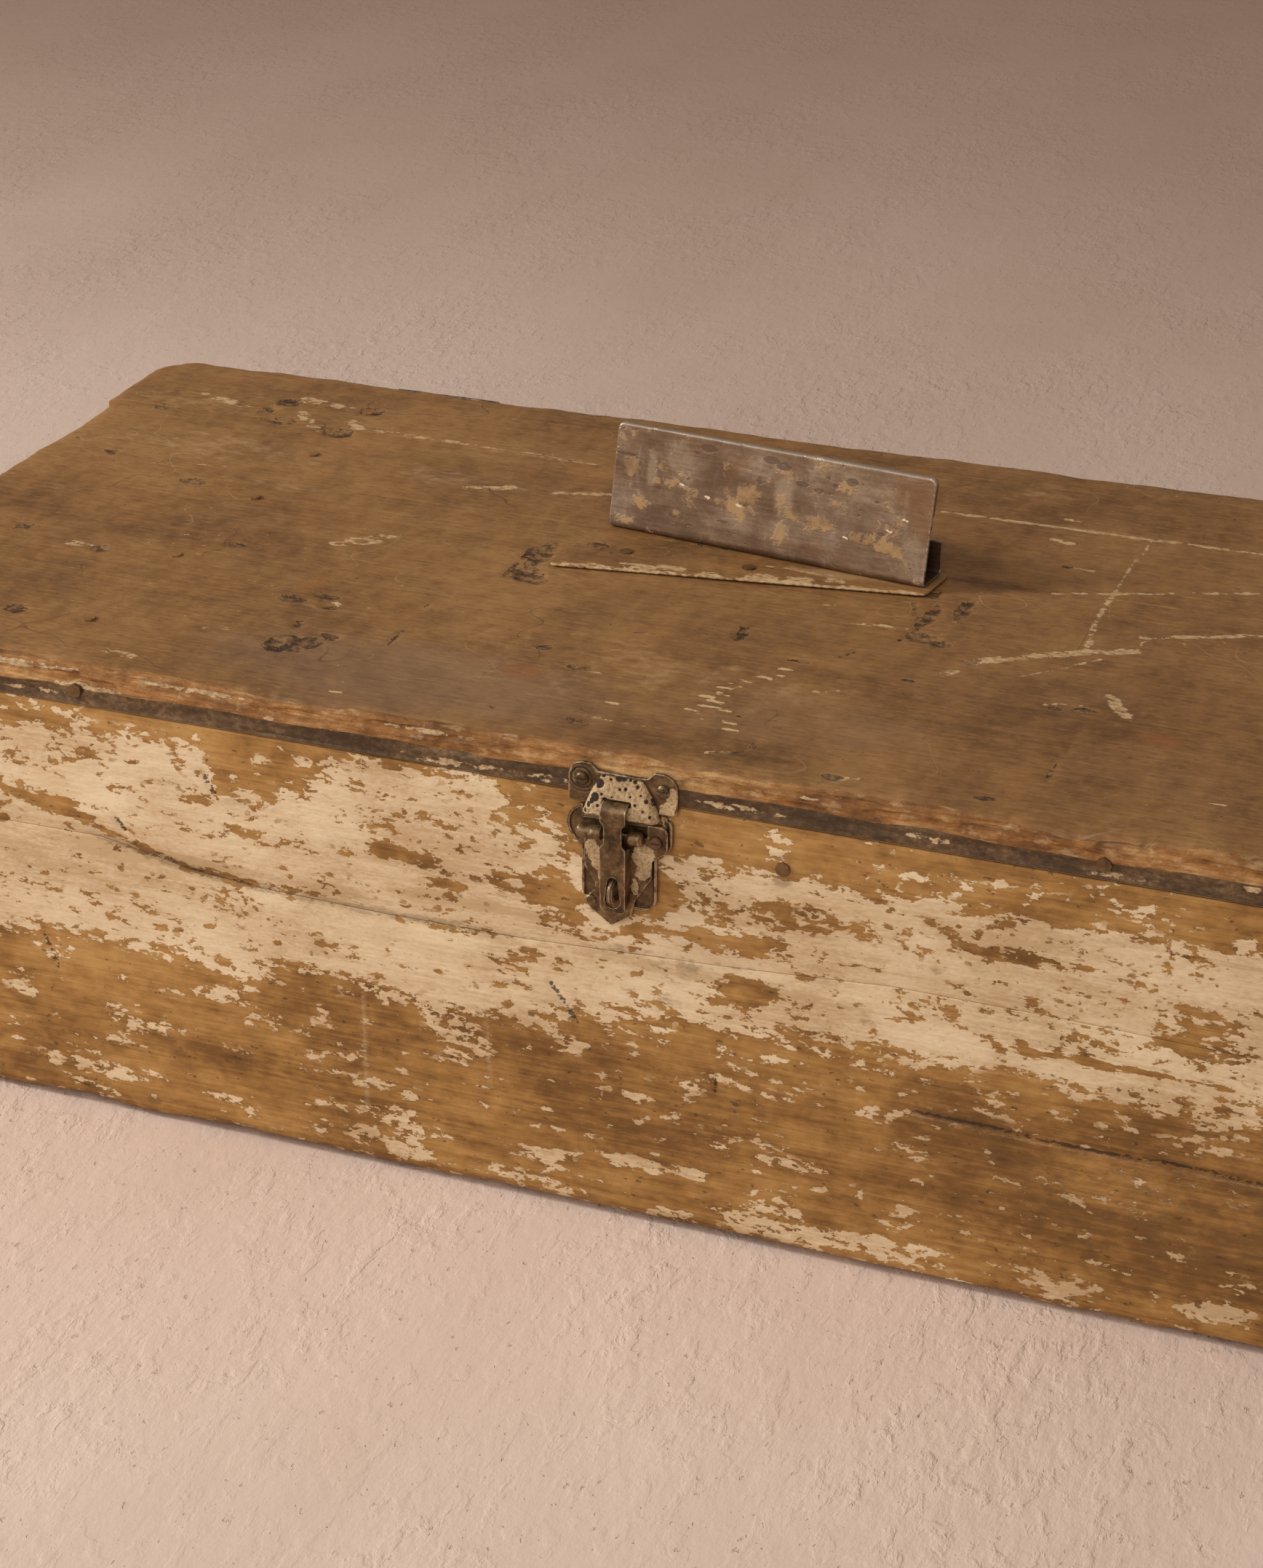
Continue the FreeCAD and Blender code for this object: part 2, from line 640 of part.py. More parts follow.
KEEPER_FRONT = "lid_front - keeper_sheet"
KEEPER_SCREW_Z = "side_height + keeper_screw_above_seam"
KEEPER_TOP = "side_height + keeper_above_seam"
keeper = new_body("keeper_plate")
sheet_metal = pad(keeper, "XZ_Plane", "lid_overhang", "keeper_sheet", [
    ("-keeper_half_width", "side_height - keeper_below_seam"),
    ("keeper_half_width", "side_height - keeper_below_seam"),
    ("keeper_half_width", KEEPER_TOP),
    ("hood_top_half_width + keeper_dip", KEEPER_TOP),
    ("hood_top_half_width", f"{KEEPER_TOP} - keeper_dip"),
    ("-hood_top_half_width", f"{KEEPER_TOP} - keeper_dip"),
    ("-hood_top_half_width - keeper_dip", KEEPER_TOP),
    ("-keeper_half_width", KEEPER_TOP),
])
sheet_metal = dress(keeper, sheet_metal, "Fillet", "keeper_ear_corner",
                    lambda middle, along: runs_along(along, "y") and near(middle.z, KEEPER_TOP)
                    and near(abs(middle.x), "keeper_half_width"))
dress(keeper, sheet_metal, "Fillet", "keeper_foot_corner",
      lambda middle, along: runs_along(along, "y") and near(middle.z, "side_height - keeper_below_seam"))


def hood_loft(kind, half_top, half_foot, back, top, foot, thickness):
    """Add or cut the awning shape between its top and its foot."""
    sections = []
    for half, level in ((half_top, top), (half_foot, foot)):
        front = f"{KEEPER_FRONT} - hood_slope * (hood_top - ({level})) + {thickness}"
        section = new_sketch(keeper, "XY_Plane", level)
        draw_outline(section, rectangle(f"-({half})", half, front, back))
        sections.append(section)
    loft = keeper.newObject(f"PartDesign::{kind}", kind)
    loft.Profile = sections[0]
    loft.Sections = [sections[1]]
    loft.Ruled = True
    document.recompute()
    return loft


hood = hood_loft("AdditiveLoft", "hood_top_half_width", "hood_foot_half_width", "lid_front",
                 "hood_top", "hood_foot", "0")
dress(keeper, hood, "Chamfer", "hood_corner",
      lambda middle, along: abs(along.z) > 0.9 and middle.y < number(KEEPER_FRONT) - TOUCH)
HOOD_FLARE = "(hood_foot_half_width - hood_top_half_width) / (hood_top - hood_foot)"
hood_loft("SubtractiveLoft", "hood_top_half_width - keeper_sheet",
          f"hood_foot_half_width - keeper_sheet + keeper_sheet * {HOOD_FLARE}", "lid_front + cut_over",
          "hood_top - keeper_sheet", "hood_foot - keeper_sheet", "keeper_sheet")
pocket(keeper, "XZ_Plane", "lid_overhang", "hood_foot_proud + cut_over", rectangle(
    "-hasp_shift - hasp_width / 2 - hasp_side_room", "-hasp_shift + hasp_width / 2 + hasp_side_room",
    "pivot_z + lip_bar / 2", "pivot_z + curl_radius + curl_room"))
pocket(keeper, "XZ_Plane", "lid_overhang", "keeper_sheet", rounds=[
    ("-keeper_screw_x", KEEPER_SCREW_Z, "screw_radius + screw_clearance"),
    ("keeper_screw_x", KEEPER_SCREW_Z, "screw_radius + screw_clearance")])
group("keeper_screws", screw, [
    ("-keeper_screw_x", KEEPER_FRONT, KEEPER_SCREW_Z, "back"),
    ("keeper_screw_x", KEEPER_FRONT, KEEPER_SCREW_Z, "back"),
])

# The hasp: an eye curled round the lip bar, a neck, and a channel with a slot

HASP_LEFT = "-hasp_shift - hasp_width / 2"
HASP_RIGHT = "-hasp_shift + hasp_width / 2"
hasp = new_body("hasp_strip")
pad(hasp, "YZ_Plane", HASP_LEFT, "hasp_width",
    circles=[("pivot_y", "pivot_z", "curl_radius"), ("pivot_y", "pivot_z", "curl_bore")])
strip = pad(hasp, "XZ_Plane", "-hasp_back", "hasp_sheet", [
    (HASP_LEFT, "hasp_foot"),
    (HASP_RIGHT, "hasp_foot"),
    (HASP_RIGHT, "neck_foot"),
    ("-hasp_shift + neck_width / 2", "neck_foot + (hasp_width - neck_width) / 2"),
    ("-hasp_shift + neck_width / 2", "neck_top"),
    (HASP_RIGHT, "neck_top + (hasp_width - neck_width) / 2"),
    (HASP_RIGHT, "pivot_z"),
    (HASP_LEFT, "pivot_z"),
    (HASP_LEFT, "neck_top + (hasp_width - neck_width) / 2"),
    ("-hasp_shift - neck_width / 2", "neck_top"),
    ("-hasp_shift - neck_width / 2", "neck_foot + (hasp_width - neck_width) / 2"),
    (HASP_LEFT, "neck_foot"),
])
strip = dress(hasp, strip, "Fillet", "neck_corner",
              lambda middle, along: runs_along(along, "y")
              and number("neck_foot") - TOUCH < middle.z < number("neck_top") + TOUCH)
dress(hasp, strip, "Fillet", "hasp_foot_corner",
      lambda middle, along: runs_along(along, "y") and near(middle.z, "hasp_foot"))
for flange_start in (HASP_LEFT, f"{HASP_RIGHT} - hasp_sheet"):
    pad(hasp, "YZ_Plane", flange_start, "hasp_sheet", rectangle(
        "hasp_back - hasp_sheet / 2", "leaf_face - curl_room",
        "hasp_foot + hasp_foot_corner", "hasp_foot + hasp_flange_length"))
SLOT_FOOT = "hasp_foot + hasp_slot_above_foot + hasp_slot_width / 2"
SLOT_TIP = "hasp_foot + hasp_slot_above_foot + hasp_slot_height - hasp_slot_tip_width / 2"
for level, half_width in ((SLOT_FOOT, "hasp_slot_width / 2"), (SLOT_TIP, "hasp_slot_tip_width / 2")):
    pocket(hasp, "XZ_Plane", "-hasp_back", "hasp_sheet", circles=[("-hasp_shift", level, half_width)])
pocket(hasp, "XZ_Plane", "-hasp_back", "hasp_sheet", [
    ("-hasp_shift - hasp_slot_width / 2", SLOT_FOOT),
    ("-hasp_shift + hasp_slot_width / 2", SLOT_FOOT),
    ("-hasp_shift + hasp_slot_tip_width / 2", SLOT_TIP),
    ("-hasp_shift - hasp_slot_tip_width / 2", SLOT_TIP),
])

# The dished base plate on the front board, notched round the hood

NOTCH_FOOT = "pivot_z - curl_radius - hood_room"


def dish_outline(inset):
    """The lobed outline of the base plate, drawn in by an amount."""
    left_lobe = f"-plate_shift - dish_lobe_half_width + {inset}"
    right_lobe = f"-plate_shift + dish_lobe_half_width - {inset}"
    left = f"-plate_shift - dish_half_width + {inset}"
    right = f"-plate_shift + dish_half_width - {inset}"
    top = f"dish_top - {inset}"
    lobe_foot = f"dish_top - dish_lobe_height + {inset}"
    foot = f"dish_top - dish_height + {inset}"
    notch = f"hood_foot_half_width + hood_room + {inset}"
    notch_foot = f"{NOTCH_FOOT} - {inset}"
    return [(left, foot), (right, foot), (right, lobe_foot), (right_lobe, lobe_foot), (right_lobe, top),
            (notch, top), (notch, notch_foot), (f"-({notch})", notch_foot), (f"-({notch})", top),
            (left_lobe, top), (left_lobe, lobe_foot), (left, lobe_foot)]


CATCH_SCREW = ("-plate_shift + catch_screw_x", "side_height - catch_screw_below_seam")
CATCH_RIVET = ("-plate_shift - catch_rivet_x", "side_height - catch_rivet_below_seam")
SCREW_HOLE = (*CATCH_SCREW, "screw_radius + screw_clearance")
RIVET_HOLE = (*CATCH_RIVET, "rivet_radius + screw_clearance")
dish = new_body("catch_base_plate")
pressing = pad(dish, "XZ_Plane", "0", "dish_sheet + dish_rim", dish_outline("0"))
pressing = dress(dish, pressing, "Fillet", "dish_lobe_corner",
                 lambda middle, along: runs_along(along, "y")
                 and near(abs(middle.x + number("plate_shift")), "dish_lobe_half_width"))
dress(dish, pressing, "Fillet", "dish_foot_corner",
      lambda middle, along: runs_along(along, "y") and near(middle.z, "dish_top - dish_height"))
pocket(dish, "XZ_Plane", "dish_sheet", "dish_rim", dish_outline("dish_rim_width"))
pocket(dish, "XZ_Plane", "0", "dish_sheet + dish_rim", rounds=[SCREW_HOLE, RIVET_HOLE])

# The pointed front plate with the two rolled barrel lengths


def turn_about_level(body, offset, level, corners, angle=360):
    """Turn an outline about a level line across the front."""
    section = new_sketch(body, "XZ_Plane", offset)
    section.setExpression("AttachmentOffset.Base.y", formula(level))
    draw_outline(section, corners)
    turn = body.newObject("PartDesign::Revolution", "Turn")
    turn.Profile = section
    turn.ReferenceAxis = (section, ["H_Axis"])
    turn.Angle = angle
    document.recompute()
    return turn


BARREL_LEFT = ("-hasp_shift - barrel_gap_half - barrel_left_length", "barrel_left_length")
BARREL_RIGHT = ("-hasp_shift + barrel_gap_half", "barrel_right_length")
front_plate = new_body("catch_front_plate")
PLATE_CORNERS = [
    ("-leaf_left", "barrel_below_seam"),
    ("-leaf_left", "leaf_bite_start"),
    ("-leaf_bite", "leaf_bite_high"),
    ("-leaf_bite", "leaf_bite_low"),
    ("-leaf_flare", "leaf_flare_below_seam"),
    ("-leaf_shoulder", "leaf_shoulder_below_seam"),
    ("-leaf_tip_shift", "leaf_tip_below_seam"),
    ("leaf_chin", "leaf_shoulder_below_seam"),
    ("leaf_side", "leaf_side_below_seam"),
    ("leaf_right", "leaf_right_below_seam"),
    ("leaf_right", "leaf_waist"),
    ("leaf_lobe_heel", "leaf_lobe_foot"),
    ("leaf_lobe_right", "leaf_lobe_side"),
    ("leaf_lobe_right", "leaf_lobe_top"),
    ("leaf_lobe_left", "leaf_lobe_top"),
    ("leaf_lobe_left", "barrel_below_seam"),
]
point = pad(front_plate, "XZ_Plane", "-leaf_back", "leaf_sheet",
            [(f"-plate_shift + ({across})", f"side_height - {below}") for across, below in PLATE_CORNERS])
dress(front_plate, point, "Fillet", "leaf_lobe_corner",
      lambda middle, along: runs_along(along, "y") and near(middle.x, "-plate_shift + leaf_lobe_right"))
for start, length in (BARREL_LEFT, BARREL_RIGHT):
    turn_about_level(front_plate, "-barrel_y", "barrel_z", [
        (start, "0"),
        (start, "barrel_radius - barrel_end_round"),
        (f"{start} + barrel_end_round", "barrel_radius"),
        (f"{start} + {length} - barrel_end_round", "barrel_radius"),
        (f"{start} + {length}", "barrel_radius - barrel_end_round"),
        (f"{start} + {length}", "0"),
    ])
pocket(front_plate, "XZ_Plane", "-leaf_back", "leaf_sheet", rounds=[SCREW_HOLE, RIVET_HOLE])

# The staple: two legs and a half turn of one wire

WIRE_SIDES = 8
staple = new_body("catch_staple")
STAPLE_PLACES = [("-hasp_shift", "staple_z - staple_bend", "staple_wire", WIRE_SIDES),
                 ("-hasp_shift", "staple_z + staple_bend", "staple_wire", WIRE_SIDES)]
pad(staple, "XZ_Plane", "-leaf_face", "staple_legs", rounds=STAPLE_PLACES)
bend = turn_about_level(staple, "-leaf_face + staple_legs", "staple_z",
                        small_round("-hasp_shift", "staple_bend", "staple_wire", WIRE_SIDES), angle=180)
if bend.Shape.BoundBox.YMin > number("leaf_face - staple_legs - staple_bend"):
    bend.Reversed = True

group("catch_screw", screw, [(CATCH_SCREW[0], "leaf_face", CATCH_SCREW[1], "back")])
rivet = new_body("catch_rivet")
pad(rivet, "XZ_Plane", "-leaf_face - leaf_sheet - dish_sheet - dish_rim - rivet_root",
    "leaf_sheet + dish_sheet + dish_rim + rivet_root", rounds=[(*CATCH_RIVET, "rivet_radius", SHANK_SIDES)])
rivet_cap = pad(rivet, "XZ_Plane", "-leaf_face", "rivet_head",
                rounds=[(*CATCH_RIVET, "rivet_head_radius", HEAD_SIDES)])
dress(rivet, rivet_cap, "Chamfer", "rivet_head_bevel",
      lambda middle, along: near(middle.y, "leaf_face - rivet_head"))

# The folded steel plate on the lid and the foot sheet under it


def turn_with_plate(body, height):
    """Place a piece at the plate's right foot, turned with it."""
    body.Placement = FreeCAD.Placement(FreeCAD.Vector(), FreeCAD.Rotation(FreeCAD.Vector(0, 0, -1), 1))
    body.setExpression("Placement.Base.x", formula("lift_right_x"))
    body.setExpression("Placement.Base.y", formula("lift_right_y - half_depth"))
    body.setExpression("Placement.Base.z", formula(height))
    body.setExpression("Placement.Rotation.Angle", formula("lift_turn"))


HEM_SHARE = "(lift_height - lift_hem) / lift_height"
lift = new_body("lift_plate")
folded = pad(lift, "YZ_Plane", "-lift_length", "lift_length", [
    ("0", "0"),
    ("lift_lean", "lift_height"),
    ("lift_lean + 2 * lift_sheet", "lift_height"),
    (f"lift_lean * {HEM_SHARE} + 2 * lift_sheet", "lift_height - lift_hem"),
    (f"lift_lean * {HEM_SHARE} + lift_sheet", "lift_height - lift_hem"),
    ("lift_sheet + lift_lean * lift_sheet / lift_height", "lift_sheet"),
    ("lift_base - lift_sheet", "lift_sheet"),
    ("lift_base - lift_sheet", "lift_lip"),
    ("lift_base", "lift_lip"),
    ("lift_base", "0"),
])
folded = dress(lift, folded, "Fillet", "lift_corner",
               lambda middle, along: runs_along(along, "y") and near(middle.z, "lift_height"))
folded = dress(lift, folded, "Fillet", "lift_bend",
               lambda middle, along: runs_along(along, "x") and near(middle.z, "0"))
HEM_BEVEL_SHARE = 0.4
dress(lift, folded, "Chamfer", f"lift_sheet * {HEM_BEVEL_SHARE}",
      lambda middle, along: runs_along(along, "x") and near(middle.z, "lift_height"))
turn_with_plate(lift, "foot_top")

foot = new_body("lift_plate_foot")
flange = pad(foot, "XY_Plane", "0", "foot_sheet", [
    ("-lift_length - foot_left_extra", "-foot_left_reach"),
    ("foot_right_extra", "-foot_right_reach"),
    ("foot_right_extra", "lift_base + foot_right_extra"),
    ("-lift_length - foot_left_extra", "lift_base - foot_corner"),
])
dress(foot, flange, "Fillet", "foot_corner", lambda middle, along: runs_along(along, "z"))
turn_with_plate(foot, "lid_top")


def plate_place(across, back, height):
    """Turn a place by the plate's right foot into a place on the box."""
    x = f"lift_right_x + ({across}) * cos(lift_turn) + ({back}) * sin(lift_turn)"
    y = f"lift_right_y - ({across}) * sin(lift_turn) + ({back}) * cos(lift_turn)"
    return x, y, height, "down"


FLANGE_NAIL_SHARES = (0.86, 0.5)
BASE_NAIL_SHARES = (0.76, 0.24)
BASE_DEPTH_SHARE = 0.66
plate_places = [plate_place(f"-{share} * lift_length", f"-{share} * foot_left_reach / 2", "foot_top")
                for share in FLANGE_NAIL_SHARES]
BASE_DEPTH = f"lift_base * {BASE_DEPTH_SHARE}"
plate_places += [plate_place(f"-{share} * lift_length", BASE_DEPTH, "foot_top + lift_sheet")
                 for share in BASE_NAIL_SHARES]
group("lift_plate_nails", tack, plate_places)

# Nothing is written unless every object and every piece is sound

document.recompute()
for item in document.Objects:
    if "Invalid" in item.State or "Error" in item.State:
        raise RuntimeError(f"{item.Label} failed: {item.State}")
for piece in pieces:
    if piece.Shape.isNull() or not piece.Shape.isValid():
        raise RuntimeError(f"{piece.Label} has no sound shape")
os.makedirs("parts", exist_ok=True)
for piece in pieces:
    piece.Shape.exportStep(f"parts/{piece.Label}.step")
print(len(pieces), "pieces written")
print("lid joint at y", number("pin_y - half_depth"), "z", number("pin_z"))
print("hasp joint at y", number("pivot_y - half_depth"), "z", number("pivot_z"))
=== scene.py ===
# %% [markdown]
# # An old plank box with a pressed-metal catch
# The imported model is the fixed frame: it says where every board, plate and nail is. This lesson dresses it.
# Boards get worn edges, cracks and flaking paint, the catch gets its pits and rust, and a pale floor and
# soft light show it all. Lengths in the lists below are in millimetres, in the same frame as the model:
# x along the box, y from the front (minus) to the back, z up from the floor.

# %% Load the frame
import contextlib
import json
import math

import bpy
import numpy as np
from mathutils import Euler, Matrix, Vector, noise


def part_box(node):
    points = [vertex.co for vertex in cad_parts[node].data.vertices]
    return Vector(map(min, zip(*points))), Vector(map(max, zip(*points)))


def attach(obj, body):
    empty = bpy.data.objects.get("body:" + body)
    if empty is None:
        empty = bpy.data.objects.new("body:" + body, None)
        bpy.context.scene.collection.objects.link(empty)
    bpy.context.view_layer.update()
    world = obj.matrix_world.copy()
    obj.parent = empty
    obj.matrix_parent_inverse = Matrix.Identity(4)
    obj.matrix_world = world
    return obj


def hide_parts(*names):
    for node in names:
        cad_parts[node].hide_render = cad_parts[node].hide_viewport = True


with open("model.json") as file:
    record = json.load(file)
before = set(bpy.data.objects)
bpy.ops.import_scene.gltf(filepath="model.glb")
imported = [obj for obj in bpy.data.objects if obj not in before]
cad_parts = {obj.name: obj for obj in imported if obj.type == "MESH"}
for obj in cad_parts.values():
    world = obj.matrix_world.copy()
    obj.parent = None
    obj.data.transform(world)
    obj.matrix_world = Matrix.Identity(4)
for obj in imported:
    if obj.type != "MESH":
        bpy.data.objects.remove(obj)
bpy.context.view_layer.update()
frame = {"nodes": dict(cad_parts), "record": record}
MM = 0.001

# %% [markdown]
# ## Where the picture is taken from
# A camera looks down its own minus Z. Turned by a quarter less the drop it looks down at the box, and a
# turn about Z brings it round to the right. The place and the lens make the edges of the lid and the front
# fall where they do in the picture.

# %% The camera
CAMERA_PLACE = Vector((0.33174, -1.02227, 0.62616))
CAMERA_TURN = math.radians(20.786)
CAMERA_DROP = math.radians(26.128)
CAMERA_TILT = math.radians(0.112)
LENS = 72.415
LONG_SIDE = 36
QUARTER = math.pi / 2

lens = bpy.data.cameras.new("picture_lens")
lens.lens = LENS
lens.sensor_width = LONG_SIDE
lens.clip_end = 20
camera = bpy.data.objects.new("picture_camera", lens)
bpy.context.scene.collection.objects.link(camera)
camera.matrix_world = (
    Matrix.Translation(CAMERA_PLACE)
    @ Matrix.Rotation(CAMERA_TURN, 4, "Z")
    @ Matrix.Rotation(QUARTER - CAMERA_DROP, 4, "X")
    @ Matrix.Rotation(CAMERA_TILT, 4, "Z")
)
bpy.context.scene.camera = camera
bpy.context.scene.view_settings.view_transform = "Standard"
print("camera at", [round(v, 3) for v in CAMERA_PLACE])

# %% [markdown]
# ## Sums on sockets
# A finish is worked out for every point of a surface by nodes. Written by hand, the links hide the idea, so
# a small class wraps a socket and takes plain sums: 1 - mask adds a Math node by itself. All other nodes
# come from one method that takes the node's type, its settings and what goes into its sockets. Colours are
# written as a screen shows them, 0 to 255.


# %% A socket that takes sums
class Wire:
    """A value inside a finish."""

    def __init__(self, finish, socket):
        self.finish = finish
        self.socket = socket

    def sum(self, operation, *terms):
        return self.finish.node("ShaderNodeMath", {"operation": operation}, dict(enumerate(terms)))

    def __add__(self, other):
        return self.sum("ADD", self, other)

    def __sub__(self, other):
        return self.sum("SUBTRACT", self, other)

    def __rsub__(self, other):
        return self.sum("SUBTRACT", other, self)

    def __mul__(self, other):
        return self.sum("MULTIPLY", self, other)

    def __abs__(self):
        return self.sum("ABSOLUTE", self)

    __radd__ = __add__
    __rmul__ = __mul__

    def most(self, other):
        return self.sum("MAXIMUM", self, other)

    def rise(self, low, high):
        """0 below low, 1 above high, and a soft step between."""
        return self.finish.node(
            "ShaderNodeMapRange", {"interpolation_type": "SMOOTHSTEP"}, {0: self, 1: low, 2: high}
        )


def tint(red, green, blue):
    """A colour as a screen shows it, 0 to 255, turned into the light that it sends back."""
    shares = (c / 255 for c in (red, green, blue))
    return tuple(s / 12.92 if s <= 0.04045 else ((s + 0.055) / 1.055) ** 2.4 for s in shares) + (1,)


print("white is", tint(255, 255, 255))


# %% A finish that holds its nodes
class Finish:
    """A material whose nodes are made by sums. Its boards run along x, said as 0, or y, said as 1."""

    def __init__(self, name, along=0):
        self.along = along
        self.material = bpy.data.materials.new(name)
        self.material.use_nodes = True
        self.tree = self.material.node_tree
        self.tree.nodes.clear()
        self.place = self.node("ShaderNodeTexCoord", {}, {}, "Object")

    def node(self, kind, settings, sockets, out=0):
        made = self.tree.nodes.new(kind)
        for key, value in settings.items():
            if key == "stops":
                self.stops(made.color_ramp.elements, value)
            else:
                setattr(made, key, value)
        for key, value in sockets.items():
            if isinstance(value, Wire):
                self.tree.links.new(value.socket, made.inputs[key])
            else:
                made.inputs[key].default_value = value
        return Wire(self, made.outputs[out])

    def stops(self, elements, stops):
        while len(elements) < len(stops):
            elements.new(1)
        for element, (place, colour) in zip(elements, stops):
            element.position = place
            element.color = colour

    def stretched(self, per_metre):
        """The place times counts per metre: one for all ways, one along a board and one across, or three."""
        counts = np.atleast_1d(per_metre).tolist()
        if len(counts) < 3:
            long, wide = counts[0], counts[-1]
            counts = [wide] * 3
            counts[self.along] = long
        return self.node("ShaderNodeVectorMath", {"operation": "MULTIPLY"}, {0: self.place, 1: counts})

    def noise(self, per_metre, detail=4, roughness=0.6, warp=0, out="Fac"):
        """Cloudy noise around a half, with so many clouds per metre."""
        sockets = {"Vector": self.stretched(per_metre), "Scale": 1, "Detail": detail}
        sockets |= {"Roughness": roughness, "Distortion": warp}
        return self.node("ShaderNodeTexNoise", {}, sockets, out)

    def scales(self, per_metre, out="Color"):
        """Ragged scales, so many per metre: one value for each, or the distance from its middle."""
        stir = self.noise([2 * count for count in per_metre], 3, out="Color")
        sockets = {0: stir, 1: (1.5, 1.5, 1.5), 2: self.stretched(per_metre)}
        place = self.node("ShaderNodeVectorMath", {"operation": "MULTIPLY_ADD"}, sockets)
        return self.node("ShaderNodeTexVoronoi", {}, {"Vector": place, "Scale": 1}, out)

    def mark(self, name, *clouds):
        """A mark that was laid on the points of a mesh, made ragged by noises of given strengths."""
        value = self.node("ShaderNodeAttribute", {"attribute_name": name}, {}, "Fac")
        for cloud, strength in clouds:
            value = value + (cloud - 0.5) * strength
        return value

    def coats(self, colour, *layers):
        """A colour with others laid over it in turn, each with its own share."""
        for share, over in layers:
            sockets = {0: share, 6: colour, 7: over if isinstance(over, Wire) else tint(*over)}
            colour = self.node("ShaderNodeMix", {"data_type": "RGBA"}, sockets, 2)
        return colour

    def ramp(self, value, places, colours):
        """Colours in turn, as a value rises past their places. Four numbers are light already."""
        lights = [tint(*colour) if len(colour) == 3 else colour for colour in colours]
        return self.node("ShaderNodeValToRGB", {"stops": list(zip(places, lights))}, {0: value})

    def shade(self, colour, roughness, relief, metal=0.0, gloss=0.5):
        """The surface itself, as the last step of a finish. Relief is in millimetres."""
        bump = self.node("ShaderNodeBump", {}, {"Height": relief, "Distance": MM, "Strength": 1.0})
        sockets = {"Base Color": colour, "Roughness": roughness, "Metallic": metal, "Normal": bump}
        sockets["Specular IOR Level"] = gloss
        surface = self.node("ShaderNodeBsdfPrincipled", {}, sockets)
        out = self.tree.nodes.new("ShaderNodeOutputMaterial")
        self.tree.links.new(surface.socket, out.inputs["Surface"])
        return self.material


print("finishes are made by sums")

# %% [markdown]
# ## Work on one mesh
# Each piece is shaped by the same few tools: pick some parts in code, go to edit mode, run an operator,
# and apply the modifiers at the end.


# %% Helpers for working on one mesh
@contextlib.contextmanager
def editing(piece, vertex=False, edge=False, face=False):
    """Edit mode on one piece, with one kind of part to pick."""
    work_on(piece)
    bpy.context.tool_settings.mesh_select_mode = (vertex, edge, face)
    bpy.ops.object.mode_set(mode="EDIT")
    yield
    bpy.ops.object.mode_set(mode="OBJECT")


def work_on(piece):
    bpy.ops.object.select_all(action="DESELECT")
    piece.select_set(True)
    bpy.context.view_layer.objects.active = piece


def pick(parts, chosen):
    """Picks vertices, edges or faces by a list of yes and no."""
    mesh = parts.id_data
    for every in (mesh.vertices, mesh.edges, mesh.polygons):
        every.foreach_set("select", np.zeros(len(every), bool))
    parts.foreach_set("select", chosen)


def read(parts, name, wide, kind=float):
    """One value of every vertex, edge or face, as rows."""
    flat = np.zeros(len(parts) * wide, kind)
    parts.foreach_get(name, flat)
    return flat.reshape(-1, wide)


def points_of(piece):
    """The points of a mesh as rows of x, y and z in millimetres."""
    return read(piece.data.vertices, "co", 3) / MM


def apply_all(piece):
    work_on(piece)
    for modifier in list(piece.modifiers):
        bpy.ops.object.modifier_apply(modifier=modifier.name)


print("one mesh can be picked, read and worked on")


# %% [markdown]
# ## A pale floor and soft light
# The floor runs back and bends up into a backdrop, so that no line shows behind the box. It is a plain
# sheet with fine pits, painted darker toward the back and the right as shade. The key lamp stands to the
# left, a broader and weaker one in front, and the world fills in the rest, at a level where a colour comes
# out about as it is written.

# %% The floor and its backdrop
FLOOR_WIDE = 9.0
FLOOR_DEEP = 6.5
BACKDROP_HIGH = 3.0
BACKDROP_BEND = 0.9
FAR_BACK = 1

bpy.ops.object.select_all(action="DESELECT")
bpy.ops.mesh.primitive_plane_add(size=1, location=(0, -FLOOR_DEEP / 4, 0))
floor = bpy.context.object
floor.name = "floor_sweep"
floor.scale = (FLOOR_WIDE, FLOOR_DEEP * 1.5, 1)
bpy.ops.object.transform_apply(location=True, rotation=False, scale=True)


def edge_middles(piece):
    points = read(piece.data.vertices, "co", 3)
    return points[read(piece.data.edges, "vertices", 2, int)].mean(axis=1)


pick(floor.data.edges, edge_middles(floor)[:, 1] > FAR_BACK)
with editing(floor, edge=True):
    bpy.ops.mesh.extrude_region_move(TRANSFORM_OT_translate={"value": (0, 0, BACKDROP_HIGH)})
middles = edge_middles(floor)
pick(floor.data.edges, (middles[:, 1] > FAR_BACK) & (abs(middles[:, 2]) < MM) & (abs(middles[:, 0]) < MM))
with editing(floor, edge=True):
    bpy.ops.mesh.bevel(offset=BACKDROP_BEND, segments=24, affect="EDGES")
work_on(floor)
bpy.ops.object.shade_smooth()


